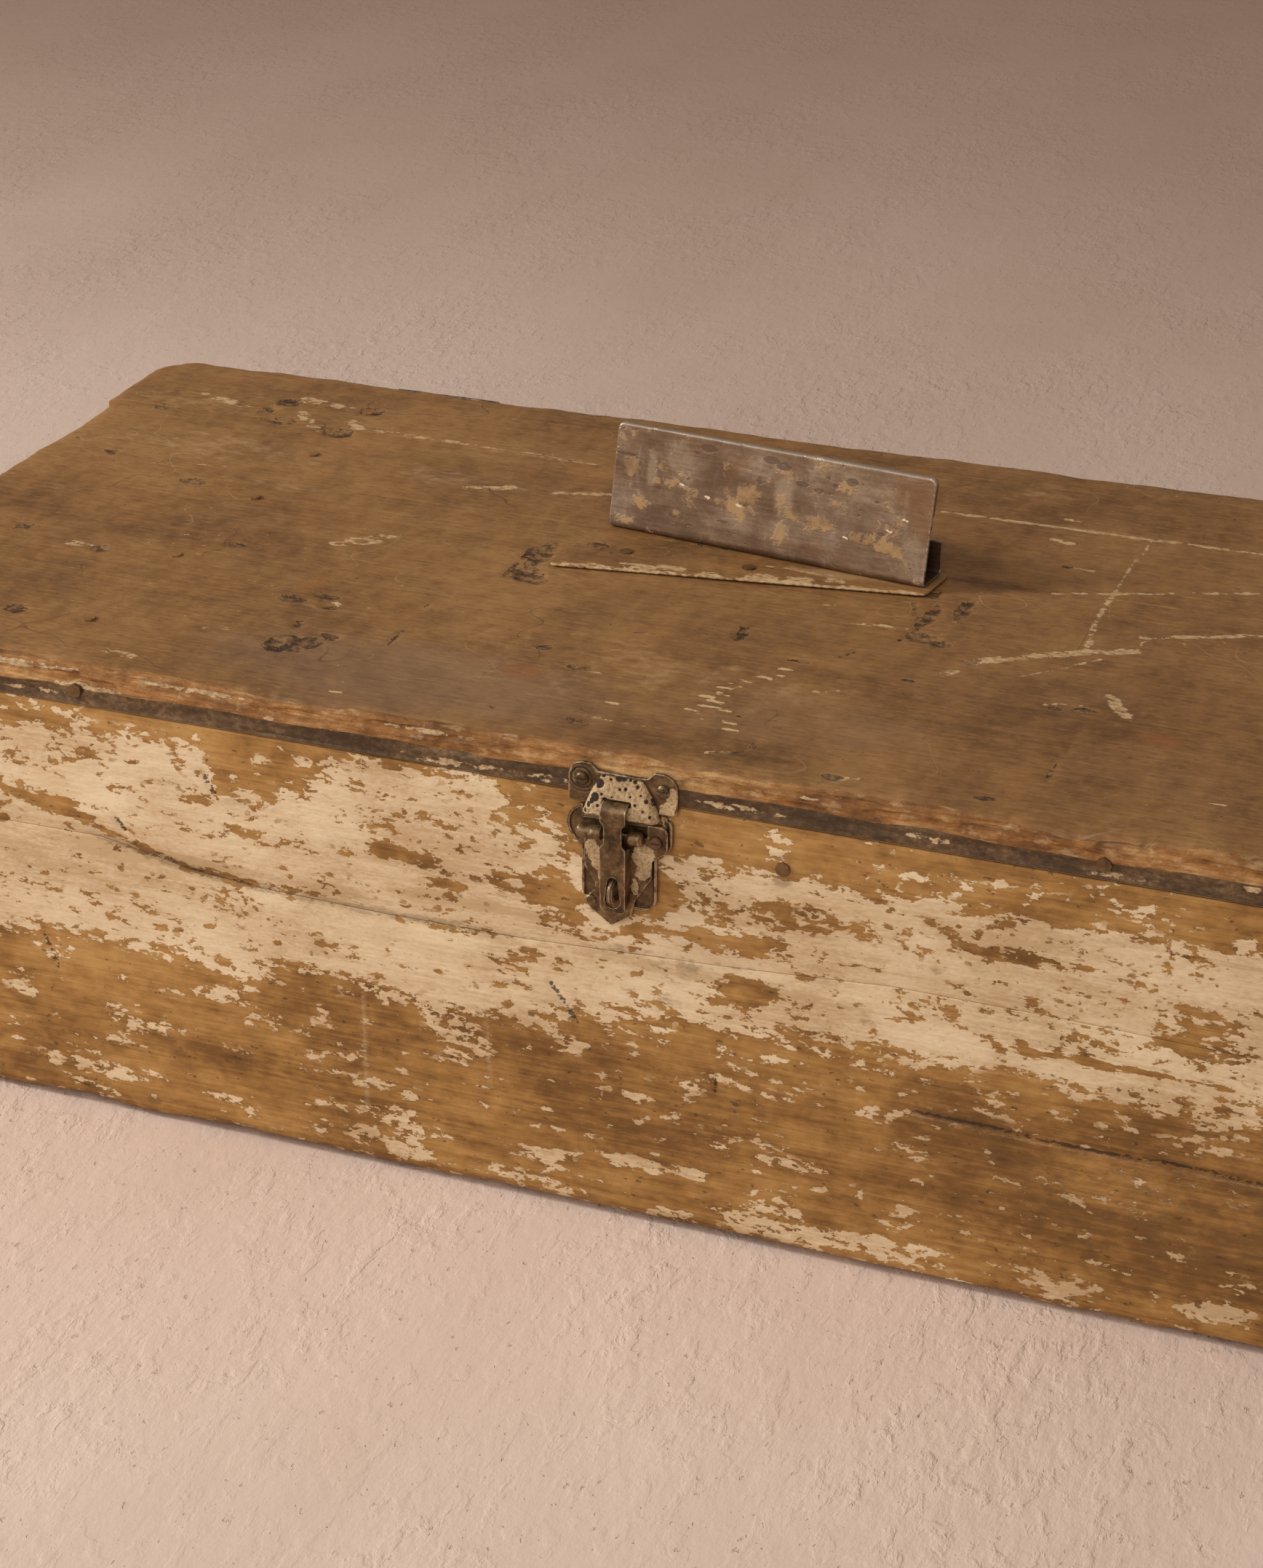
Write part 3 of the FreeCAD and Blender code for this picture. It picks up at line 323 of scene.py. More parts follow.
def plaster():
    """Pale warm plaster with crumbs, pits, a soft cloudy tone and painted shade toward the back and right."""
    f = Finish("pale_plaster")
    clouds = f.noise((5, 2.4, 4), 7, 0.62)
    grit = f.noise((900, 500, 600), 4, 0.7)
    crumbs = f.noise((190, 100, 120), 5)
    rough = f.noise((9, 5, 5), 3, 0.5).rise(0.4, 0.6) * 0.6 + 0.4
    flakes = f.noise((90, 46, 60), 5, warp=0.3).rise(0.5, 0.6)
    pits = f.noise((300, 170, 200), 3).rise(0.66, 0.71)
    right, back = (f.node("ShaderNodeSeparateXYZ", {}, {0: f.place}, way) for way in (0, 1))
    back = back.rise(-0.2, 1.7)
    right = right.rise(0.1, 0.5) * (1 - back)
    colour = f.coats(
        f.ramp(clouds, (0.34, 0.66), [(214, 187, 168), (226, 201, 183)]),
        (pits * 0.35 + (grit - 0.5) * 0.5, (176, 148, 128)),
        # painted shade: darker toward the back and a little to the right, where the lamps' light falls off
        (back * 0.6 + right * 0.14, (158, 133, 114)),
    )
    relief = grit * 0.1 + (crumbs * 1.1 + flakes * 0.3) * rough - pits * 0.3
    return f.shade(colour, 0.9, relief, gloss=0.2)


floor.data.materials.append(plaster())
print("floor points", len(floor.data.vertices))

# %% The world and the lamps
KEY_SIZE = 0.5
KEY_PLACE = Vector((-2.0, -0.75, 1.35))
KEY_POWER = 38
FILL_SIZE = 1.8
FILL_PLACE = Vector((-0.3, -2.1, 1.3))
FILL_POWER = 20
WORLD_LEVEL = 0.37
LAMP_AIM = Vector((0, 0, 0.1))


def soft_lamp(name, place, size, power):
    """A square lamp that looks at the middle of the box."""
    data = bpy.data.lights.new(name, "AREA")
    data.size = size
    data.energy = power
    lamp = bpy.data.objects.new(name, data)
    bpy.context.scene.collection.objects.link(lamp)
    lamp.location = place
    lamp.rotation_euler = (LAMP_AIM - place).to_track_quat("-Z", "Y").to_euler()


world = bpy.data.worlds.new("soft_room")
world.use_nodes = True
world.node_tree.nodes["Background"].inputs["Color"].default_value = tint(255, 246, 238)
world.node_tree.nodes["Background"].inputs["Strength"].default_value = WORLD_LEVEL
bpy.context.scene.world = world
soft_lamp("key_lamp", KEY_PLACE, KEY_SIZE, KEY_POWER)
soft_lamp("fill_lamp", FILL_PLACE, FILL_SIZE, FILL_POWER)
print("lamps", KEY_POWER, FILL_POWER, "world", WORLD_LEVEL)

# %% [markdown]
# ## Boards
# A board of the real box is sawn pine, planed by hand, with edges that have worn round and chipped. While
# the box is shut only its outer face and its rim show, so it is made as a grid of small faces whose rim
# is drawn back in a rounded edge and straight walls, and closed behind by one face. The small faces can
# then be pressed in by weights, which is how wear, dents and cracks get a real shape.

# %% Press a surface, lay marks on it, and put it in its place
def press(piece, way, shifts):
    """Moves every point along X, Y, Z or its normal by its own shift in millimetres, by weights."""
    for name, side in (("outward", 1), ("inward", -1)):
        amounts = shifts * side
        most = float(amounts.max())
        if most <= 0:
            continue
        group = piece.vertex_groups.new(name=name)
        for index in np.nonzero(amounts > most / 1000)[0].tolist():
            group.add([index], amounts[index] / most, "REPLACE")
        push = piece.modifiers.new(name, "DISPLACE")
        push.direction = way
        push.mid_level = 0
        push.strength = side * most * MM
        push.vertex_group = group.name
        apply_all(piece)
        piece.vertex_groups.clear()


def lay(piece, **marks):
    """Lays marks on the points of a mesh, for its finish to read."""
    for name, values in marks.items():
        attribute = piece.data.attributes.new(name, "FLOAT", "POINT")
        attribute.data.foreach_set("value", np.asarray(values, np.float32))


def settle(piece, node, body, material, angle=40):
    """Smooths a finished piece, gives it its finish, and puts it in its node's place on its body."""
    work_on(piece)
    bpy.ops.object.shade_smooth_by_angle(angle=math.radians(angle))
    piece.data.materials.clear()
    piece.data.materials.append(material)
    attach(piece, body)
    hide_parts(node)
    print(piece.name, len(piece.data.vertices), "points")


print("a piece can be pressed, marked and put in its place")


# %% A board with a fine outer face
FACINGS = {
    "up": Euler((0, 0, 0)),
    "front": Euler((QUARTER, 0, 0)),
    "back": Euler((QUARTER, 0, 2 * QUARTER)),
    "left": Euler((QUARTER, 0, -QUARTER)),
    "right": Euler((QUARTER, 0, QUARTER)),
}
RIM_STEPS = 3


def draw_rim(drop, wide, tall, grow):
    """Draws the picked rim down by drop and moves it out by grow on every side."""
    bpy.ops.mesh.extrude_region_move(TRANSFORM_OT_translate={"value": (0, 0, -drop)})
    share = ((wide + 2 * grow) / wide, (tall + 2 * grow) / tall, 1)
    bpy.ops.transform.resize(value=share, center_override=(0, 0, 0))
    return wide + 2 * grow, tall + 2 * grow


def board(node, facing, cell, rim):
    """A worn board for a node, with small faces on its outer side. Cell and rim are in millimetres."""
    cell, rim = cell * MM, rim * MM
    low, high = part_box(node)
    turn = FACINGS[facing].to_matrix()
    wide, tall, deep = (abs(v) for v in turn.transposed() @ (high - low))
    across, up = round(wide / cell), round(tall / cell)
    bpy.ops.object.select_all(action="DESELECT")
    bpy.ops.mesh.primitive_grid_add(x_subdivisions=across, y_subdivisions=up, size=1, calc_uvs=False)
    piece = bpy.context.object
    piece.name = node + "_worn"
    face_wide, face_tall = wide - 2 * rim, tall - 2 * rim
    piece.scale = (face_wide, face_tall, 1)
    bpy.ops.object.transform_apply(location=False, rotation=False, scale=True)
    with editing(piece, edge=True):
        bpy.ops.mesh.select_all(action="DESELECT")
        bpy.ops.mesh.select_non_manifold(extend=False)
        angles = [QUARTER * i / RIM_STEPS for i in range(RIM_STEPS + 1)]
        for before, after in zip(angles, angles[1:]):
            drop = rim * (math.cos(before) - math.cos(after))
            grow = rim * (math.sin(after) - math.sin(before))
            face_wide, face_tall = draw_rim(drop, face_wide, face_tall, grow)
        walls = max(1, round((deep - 2 * rim) / cell))
        for _ in range(walls):
            draw_rim((deep - 2 * rim) / walls, face_wide, face_tall, 0)
        draw_rim(rim, face_wide, face_tall, -rim)
        bpy.ops.mesh.edge_face_add()
        bpy.ops.mesh.select_all(action="SELECT")
        bpy.ops.mesh.normals_make_consistent(inside=False)
    depth = -read(piece.data.vertices, "co", 3)[:, 2]
    lay(piece, inside=depth > deep - rim / 2)
    place = Matrix.Translation((low + high) / 2)
    piece.matrix_world = place @ turn.to_4x4() @ Matrix.Translation((0, 0, deep / 2))
    work_on(piece)
    bpy.ops.object.transform_apply(location=True, rotation=True, scale=False)
    return piece


print("boards can face", *FACINGS)


# %% [markdown]
# ## Marks on a surface
# Paint, scars and scratches lie where they lie on the real box. Each is a stroke along a few points or a
# round patch, listed one by one. What they come to at a point of a mesh is laid on it as a number, and the
# finish roughens its border with noise, so that a soft stroke becomes a ragged chip.

# %% Strokes, patches and noise on points
def smooth(values):
    """0 below 0, 1 above 1, and a soft step between."""
    values = np.clip(values, 0, 1)
    return values * values * (3 - 2 * values)


def stroke(u, v, path, reach):
    """1 on a line through the path, falling to 0 at reach from it."""
    best = np.full(len(u), np.inf)
    for (u0, v0), (u1, v1) in zip(path, path[1:]):
        du, dv = u1 - u0, v1 - v0
        along = np.clip(((u - u0) * du + (v - v0) * dv) / (du * du + dv * dv), 0, 1)
        best = np.minimum(best, np.hypot(u - u0 - along * du, v - v0 - along * dv))
    return np.clip(1 - best / reach, 0, 1)


def patch(u, v, u0, v0, reach_u, reach_v):
    """1 at the middle of a round patch, falling to 0 at its edge."""
    return smooth(1.4 * (1 - np.hypot((u - u0) / reach_u, (v - v0) / reach_v)))


def most_of(u, v, patches):
    """The strongest of a list of patches, each with its own amount."""
    values = np.zeros(len(u))
    for u0, v0, reach_u, reach_v, amount in patches:
        values = np.maximum(values, amount * patch(u, v, u0, v0, reach_u, reach_v))
    return values


def spots(u, v, holes):
    """1 in round spots, each with its own size, falling to 0 outside them."""
    values = np.zeros(len(u))
    for u0, v0, size in holes:
        values = np.maximum(values, smooth(1.5 - np.hypot(u - u0, v - v0) / size))
    return values


def dabs(u, v, patches, start=0.0):
    """A start value drawn toward each patch's own level, one after the other."""
    values = start + np.zeros(len(u))
    for u0, v0, reach_u, reach_v, level in patches:
        values = values + (level - values) * patch(u, v, u0, v0, reach_u, reach_v)
    return values


def ripples(points, per_metre, seed, octaves=3):
    """Cloudy noise about 0 on every point, from minus 1 to 1, stretched as per_metre says."""
    scaled = points * MM * np.array(per_metre) + seed
    return np.array([noise.fractal(Vector(p), 1.0, 2.0, octaves) for p in scaled])


at_middle_and_past = stroke(np.array([0.0, 9.0]), np.zeros(2), [(-1, 0), (1, 0)], 3)
print("a stroke at its middle and past its reach", at_middle_and_past)

# %% [markdown]
# ## The wood of old boards
# The wood has soft bands, fine fibres and broad stains, all drawn out along the board. One recipe makes
# them for every board: it only needs to know which way the board runs and its three colours.

# %% The recipe for wood
FRONT_WOOD = ((122, 84, 42), (158, 114, 60), (184, 140, 82))
LID_WOOD = ((112, 77, 44), (137, 97, 56), (157, 115, 69))
RAW_WOOD = ((104, 66, 32), (154, 104, 54), (194, 150, 96))
INNER_WOOD = ((134, 102, 68), (162, 128, 88), (184, 152, 110))
CREAM = ((190, 158, 118), (212, 184, 146), (226, 202, 166))
DARK_FILM = ((58, 42, 27), (86, 64, 42), (126, 100, 70))
# Dark colour of scars and specks, also used for painted shade beside paint flakes.
SCAR_AND_SHADE = (58, 42, 30)
DRY = 0.25
DARKEST = 0.55


def wood(f, colours, broad=(18, 34), small=(110, 190)):
    """Bands, fibres and stains along a board, as a colour, and the fibres and stains by themselves."""
    bands = f.noise((8, 90), warp=0.8)
    fibres = f.noise((32, 850), 4, 0.65)
    stains = f.noise(broad, 6)
    mottle = f.noise(small, 5, 0.66)
    tone = bands * 0.14 + fibres * 0.22 + stains * 0.36 + mottle * 0.28 + f.mark("tone") * 0.045
    darkest = [DARKEST * part for part in tint(*colours[0])[:3]] + [1]
    return f.ramp(tone, (0.32, 0.42, 0.505, 0.6), [darkest, *colours]), fibres, stains


def planed(f):
    """Clean planed wood: fine dark grain lines in pale bands, and the fibres and stains by themselves."""
    colour, fibres, stains = wood(f, INNER_WOOD)
    lines = f.noise((9, 420), 5, warp=0.4)
    dark, pale = (1 - lines.rise(0.38, 0.5)) * 0.4, lines.rise(0.53, 0.66) * 0.4
    return f.coats(colour, (dark, (112, 80, 50)), (pale, (198, 166, 122))), fibres, stains


def bare_inside(f, colour):
    """The outer colour, but clean pale wood where the inside of the box begins."""
    return f.coats(colour, (f.mark("inside").rise(0.3, 0.7), planed(f)[0]))


print("wood colours", len(FRONT_WOOD), "for each kind of board")

# %% [markdown]
# ## Flaking paint
# Over the wood of the front lies a dull brown stain, and over that an old cream paint that has flaked off in
# ragged scales. How much paint is left comes from the marks. Noise of two sizes and a value for every small
# scale are added to it before it is cut off sharply, so that wide soft borders break up into streaks. Crumbs
# of paint stay outside the border and small holes lie inside it, as on the real box.


# %% The finish with flaking paint
def flaking_paint(name, along):
    """Stained wood with cracks, grime, painted shade and what is left of a cream paint."""
    f = Finish(name, along)
    colour, fibres, stains = wood(f, FRONT_WOOD)
    broad = f.noise((45, 120))
    small = f.noise((105, 240), 4, 0.58)
    fine = f.noise((420, 1100))
    scale = f.scales((210, 400))
    crumbs = f.noise((190, 370), 2, 0.5)
    left = f.mark("paint", (broad, 3))
    level = left + (small - 0.5) * 3.8 + (scale - 0.5) * 1.6
    islands = crumbs.rise(0.625, 0.645) * left.rise(-0.3, 0.3)
    holes = (1 - crumbs).rise(0.64, 0.66) * (1 - left.rise(0.8, 1.6))
    paint = level.rise(0.485, 0.515).most(islands) * (1 - holes)
    # A thin dark rim just outside each flake's border: painted shade of the flake's edge, with some dirt.
    near = level.rise(0.3, 0.5) * (1 - paint)
    tone = fibres * 0.2 + stains * 0.45 + fine * 0.2 + broad * 0.15 + f.mark("tone") * 0.08
    thin = f.noise((24, 120), 6, 0.65).rise(0.54, 0.7)
    cream = f.coats(
        f.ramp(tone, (0.42, 0.5, 0.6), CREAM),
        (thin * 0.25 + (1 - level.rise(0.5, 0.75)) * 0.15, FRONT_WOOD[2]),
    )
    specks = f.noise((260, 520), 3, 0.5).rise(0.69, 0.72)
    # One mark holds the dirt and, along the front's crease, painted shade; both darken toward (114, 86, 54).
    dirt = f.mark("dirt", (fine, 1.6), (small, 1.2)).rise(0.4, 0.85)
    haze = f.mark("haze", (fine, 1.2)).rise(0.25, 0.95)
    scar = f.mark("scar", (fine, 1.5)).rise(0.42, 0.58)
    colour = f.coats(
        colour, (specks * 0.6, SCAR_AND_SHADE), (near * 0.22, SCAR_AND_SHADE), (paint, cream),
        (dirt * 0.5, (114, 86, 54)), (haze * 0.38, CREAM[1]), (scar * 0.85, SCAR_AND_SHADE),
    )
    relief = paint * (0.14 + (small - 0.5) * 0.5) + fibres * (0.2 - paint * 0.12)
    relief = relief - scar * 0.4 - specks * 0.12
    rough = 0.6 + (fibres - 0.5) * 0.3 + paint * 0.14
    return f.shade(bare_inside(f, colour), rough, relief, gloss=DRY)


front_finish = flaking_paint("flaking_front", 0)
side_finish = flaking_paint("worn_ends", 1)
print("front finish", len(front_finish.node_tree.nodes), "nodes")

# %% [markdown]
# ## The front
# The front of the real box is two boards. Their joint isn't straight: it shows as a soft crease that runs
# high at the left, dips past the catch and rises again. Cream paint covers the upper half down to a ragged
# border, and lies in scraps along the foot. The list goes over the front patch by patch: where each lies,
# how far it reaches each way, and how much paint is left, with the border at a half.

# %% Paint and creases on the front
CREASE = [
    (-328, 112), (-241, 114), (-200, 114.5), (-165, 107.5), (-140, 105.5), (-89, 104.6), (-42, 105),
    (0, 107), (37, 109), (93, 113), (150, 113), (225, 111), (328, 109),
]
PAINT_FOOT = [
    (-328, 70), (-240, 70), (-205, 72), (-180, 73), (-150, 68), (-128, 75), (-100, 72), (-62, 70),
    (-38, 73), (-12, 80), (5, 87), (60, 88), (100, 88), (150, 88), (220, 85), (328, 80),
]
PAINT_HEAD = [
    (-328, 154), (-235, 154), (-208, 156), (-170, 158), (-112, 158), (-98, 164), (-48, 163), (-30, 148),
    (-10, 143), (12, 146), (30, 149), (60, 148), (90, 148), (130, 147), (225, 148), (328, 150),
]
PAINT_LEFT = 1.22
PAINT_GONE = -0.38
PAINT_PATCHES = [
    (-215, 160, 34, 5, 0.35), (-208, 147, 16, 3, 0.1), (-131, 152, 30, 13, -0.5), (-134, 156, 6, 4, 1.1),
    (-118, 159, 6, 3, 1), (-150, 145, 8, 7, -0.2), (-33, 153, 22, 7, -0.4), (-24, 124, 18, 17, -0.3),
    (-47, 128, 13, 5, 0.15), (-81, 129, 19, 5, -0.25), (-66, 121, 10, 3, 0.25), (-27, 118, 10, 4, 0.5),
    (-217, 126, 26, 2.6, -0.3), (-212, 122, 16, 3, -0.2), (-37, 99, 10, 3.4, -0.2),
    (-142, 127, 9, 3.2, 0.1), (40, 155, 52, 10, -0.5), (54, 158, 11, 6, 0.75), (122, 158, 60, 8, -0.2),
    (180, 156, 22, 8, 0.5), (30, 134, 28, 13, 0.75), (8, 134, 17, 18, -0.4), (57, 132, 22, 9, 0.2),
    (78, 131, 16, 4, 0.15), (38, 119, 34, 7, 0.12), (8, 117, 15, 6, 0), (136, 132, 34, 4.6, 0.12),
    (196, 117, 26, 12, 0.3), (43, 101, 15, 8, -0.6), (33, 95, 10, 4, -0.3), (55, 107, 6, 2.6, 0.9),
    (165, 99, 62, 2, -0.2), (20, 101, 20, 10, 1.25), (90, 98, 34, 9, 1.1), (110, 140, 46, 5, 1.2),
    (-170, 130, 22, 14, 1.45), (-190, 95, 44, 9, 1.4), (-90, 95, 60, 9, 1.4), (-100, 142, 22, 10, 1.4),
    (-215, 138, 26, 8, 1.35), (-158, 59, 13, 5, 0.75), (-140, 51, 11, 6, 0.85), (-112, 56, 13, 4, 0.65),
    (-124, 64, 9, 12, -0.4), (-122, 50, 6, 4, 0.6), (-146, 38, 16, 4, 0.25), (-190, 37, 26, 8, 0.22),
    (-238, 48, 12, 8, 0.5), (-211, 17, 42, 5, 0.5), (-145, 16, 24, 6, 0.32), (-94, 15, 34, 16, 0.55),
    (-84, 8, 24, 6, 0.75), (-35, 21, 26, 6, 0.5), (-34, 8, 28, 5, 0.6), (12, 24, 28, 5, 0.66),
    (14, 4, 26, 4, 0.5), (54, 14, 22, 15, 0.7), (62, 8, 34, 8, 0.85), (98, 24, 9, 9, 0.6),
    (98, 11, 34, 7, 0.72), (152, 11, 34, 6, 0.55), (206, 13, 24, 7, 0.78), (60, 37, 18, 5, 0.4),
    (107, 48, 9, 20, 0.2), (90, 63, 10, 4.6, 0.72), (40, 44, 40, 12, 0.02), (-33, 75, 11, 8, 0.85),
    (-22, 65, 10, 4, 0.7), (-60, 62, 20, 10, 0.42), (-6, 76, 8, 7, 0.6), (200, 76, 26, 7, 0.5),
    (150, 78, 40, 6, 0.25), (-100, 40, 70, 9, -0.02), (30, 62, 40, 9, -0.1), (160, 44, 50, 16, -0.15),
    (-20, 3, 330, 3.5, 0.1),
]
FRONT_TONES = [
    (180, 45, 170, 60, -1.8), (-60, 45, 120, 40, -0.5), (-215, 60, 40, 16, 1.4), (-130, 63, 14, 14, -1.2),
    (-160, 30, 60, 10, -0.8), (40, 78, 60, 8, 0.9), (60, 50, 60, 14, -0.9), (-40, 50, 40, 14, -0.5),
    (180, 55, 50, 14, 0.2), (205, 40, 30, 12, -1), (-60, 2, 300, 6, -1.6), (-60, -2, 330, 4, -2),
    (-20, 128, 26, 16, 0.6), (40, 160, 60, 8, 0.8), (150, 155, 60, 8, 0.7), (-60, 115, 40, 4, -1.2),
    (-180, 110, 60, 5, -1.4), (20, 104, 60, 4, -1.2), (-205, 135, 30, 16, 0.9),
]
FRONT_DIRT = [
    (190, 48, 120, 34, 0.5), (70, 60, 60, 18, 0.32), (-215, 60, 30, 14, 0.3), (15, 103, 26, 9, 0.5),
    (2, 108, 18, 4, 0.75), (16, 92, 9, 5, 0.6), (22, 106, 9, 4, 0.8), (55, 145, 5, 4, 0.9),
    (-186, 7.5, 5, 2.6, 1.3), (18, 23, 3, 2, 1), (-12, 7, 4, 2, 0.8), (106, 70, 8, 6, 0.5),
    (-20, 136, 12, 26, 0.25), (165, 82, 5, 1.6, 1), (106, 66, 9, 9, 0.35), (108, 122, 4, 3, 0.7),
    (85, 100, 4, 5, 0.6), (60, 2, 260, 3, 0.45),
]
# How dark the front is along its crease, from left to right: painted shade in the crease's groove, with some
# dirt.
CREASE_SHADE_AND_DIRT = [
    (-328, 0.25), (-215, 0.3), (-195, 0.95), (-60, 0.8), (-30, 0.4), (0, 0.5), (40, 0.5), (60, 0.2),
    (328, 0.1),
]
FRONT_SPLIT = [(101, 68), (135, 67), (160, 66), (190, 67), (226, 66), (328, 65)]
CREASE_CRACK = [
    (-250, 130), (-226, 124), (-205, 120), (-196, 116.5), (-180, 111.5), (-165, 108), (-140, 105.8),
]
FRONT_SCARS = [
    ([(-27, 90), (-21, 82), (-17, 76)], 1.5), ([(-227, 70), (-224, 62), (-222, 57)], 1.5),
    ([(-190, 119), (-193, 123)], 1.5), ([(33, 60), (33, 66)], 1.3), ([(-157, 147), (-153, 140)], 1.4),
]
PALE_RUNS = [
    ([(-98.5, 71), (-98.5, 25)], 2.4), ([(-52, 80), (-50, 44)], 2.2), ([(-26, 84), (-18, 75)], 1.2),
    ([(-221, 70), (-219, 58)], 1.4), ([(-48, 24), (-38, 12)], 1),
]
CREASE_DEPTH = [(-328, 0.6), (-205, 0.7), (-180, 1.1), (-60, 1), (0, 0.7), (120, 0.55), (328, 0.4)]
SEAM = 109
SEAM_GAP = 0.25
FRONT_TALL = 165
FRONT_INSIDE = -139.5
FOOT_GAP_TALL = 2.2
FOOT_GAP_DEEP = 6
CREASE_SPREAD = 45
CREASE_HALF_WIDE = 8
CREASE_SHADE_HALF_WIDE = 4.5
STILL_EDGE = 12
OUTER_FADE = 6


def heights(x, path):
    return np.interp(x, *zip(*path))


def front_paint(x, z):
    """How much paint is left at a place on the front, before its border is made ragged."""
    band = smooth((z - heights(x, PAINT_FOOT)) / 18 + 0.5) * smooth((heights(x, PAINT_HEAD) - z) / 10 + 0.5)
    return dabs(x, z, PAINT_PATCHES, PAINT_GONE + (PAINT_LEFT - PAINT_GONE) * band)


print("patches of paint", len(PAINT_PATCHES))


# %% The two front boards
def dress_front(node):
    """A front board with its crease, split, scars, worn foot and paint."""
    piece = board(node, "front", cell=1.2, rim=0.5)
    x, _, z = points_of(piece).T
    lift = (heights(x, CREASE) - SEAM) * smooth(1.2 - np.abs(z - SEAM) / CREASE_SPREAD)
    closed = SEAM_GAP * smooth(1 - (z - SEAM) / 2) * (node == "front_board_upper")
    press(piece, "Z", lift * smooth(np.minimum(z, FRONT_TALL - z) / STILL_EDGE) - closed)
    x, y, z = points_of(piece).T
    outer = smooth((FRONT_INSIDE - y) / OUTER_FADE)
    gap = np.abs(z - heights(x, CREASE))
    inward = heights(x, CREASE_DEPTH) * smooth(1 - gap / CREASE_HALF_WIDE)
    inward += 0.5 * stroke(x, z, FRONT_SPLIT, 1.7)
    inward += 0.3 * stroke(x, z, CREASE_CRACK, 2.2)
    for path, reach in FRONT_SCARS:
        inward += 0.7 * stroke(x, z, path, reach * 1.6)
    waves = 0.35 + 0.35 * ripples(points_of(piece), (9, 9, 22), 4.0)
    press(piece, "Y", outer * (inward + np.clip(waves, 0, 1)))
    foot_wear = smooth(1 - z / 7) * (0.8 + 0.8 * ripples(points_of(piece), (40, 1, 1), 9.0, 4))
    foot_gap = z / FOOT_GAP_TALL * (0.9 + 0.3 * ripples(points_of(piece), (30, 1, 1), 19.0))
    press(piece, "Y", outer * (np.clip(foot_wear, 0, 2) + FOOT_GAP_DEEP * smooth(1.5 - foot_gap)))
    paint = front_paint(x, z) - 1.6 * stroke(x, z, CREASE_CRACK, 2.4)
    crease_shade_and_dirt = smooth(1 - gap / CREASE_SHADE_HALF_WIDE) * heights(x, CREASE_SHADE_AND_DIRT)
    split = 0.85 * stroke(x, z, FRONT_SPLIT, 1.2) + 0.45 * stroke(x, z, CREASE_CRACK, 1.4)
    runs = sum(0.7 * stroke(x, z, path, reach) for path, reach in PALE_RUNS)
    lay(
        piece,
        paint=np.where(y < FRONT_INSIDE - 0.5, paint, -1),
        tone=dabs(x, z, FRONT_TONES),
        # This mark holds the dirt patches and, along the crease, painted shade.
        dirt=np.maximum(most_of(x, z, FRONT_DIRT), crease_shade_and_dirt),
        scar=split + sum(0.68 * stroke(x, z, path, 1.3 * reach) for path, reach in FRONT_SCARS),
        haze=runs + 0.6 * stroke(x, z + 1.8, FRONT_SPLIT, 1.6),
    )
    settle(piece, node, "carcass", front_finish)


dress_front("front_board_lower")
dress_front("front_board_upper")

# %% [markdown]
# ## The lid
# Three boards make the lid. Its stain is mottled: short fine streaks along the boards, patches that are more
# orange or more grey, and hair-thin scratches in all directions. Where it was handled most, before the steel
# plate, it is worn grey-brown. The front edge has worn to bare wood above a dark band of old film, and the
# deeper marks lie mostly near the steel plate.


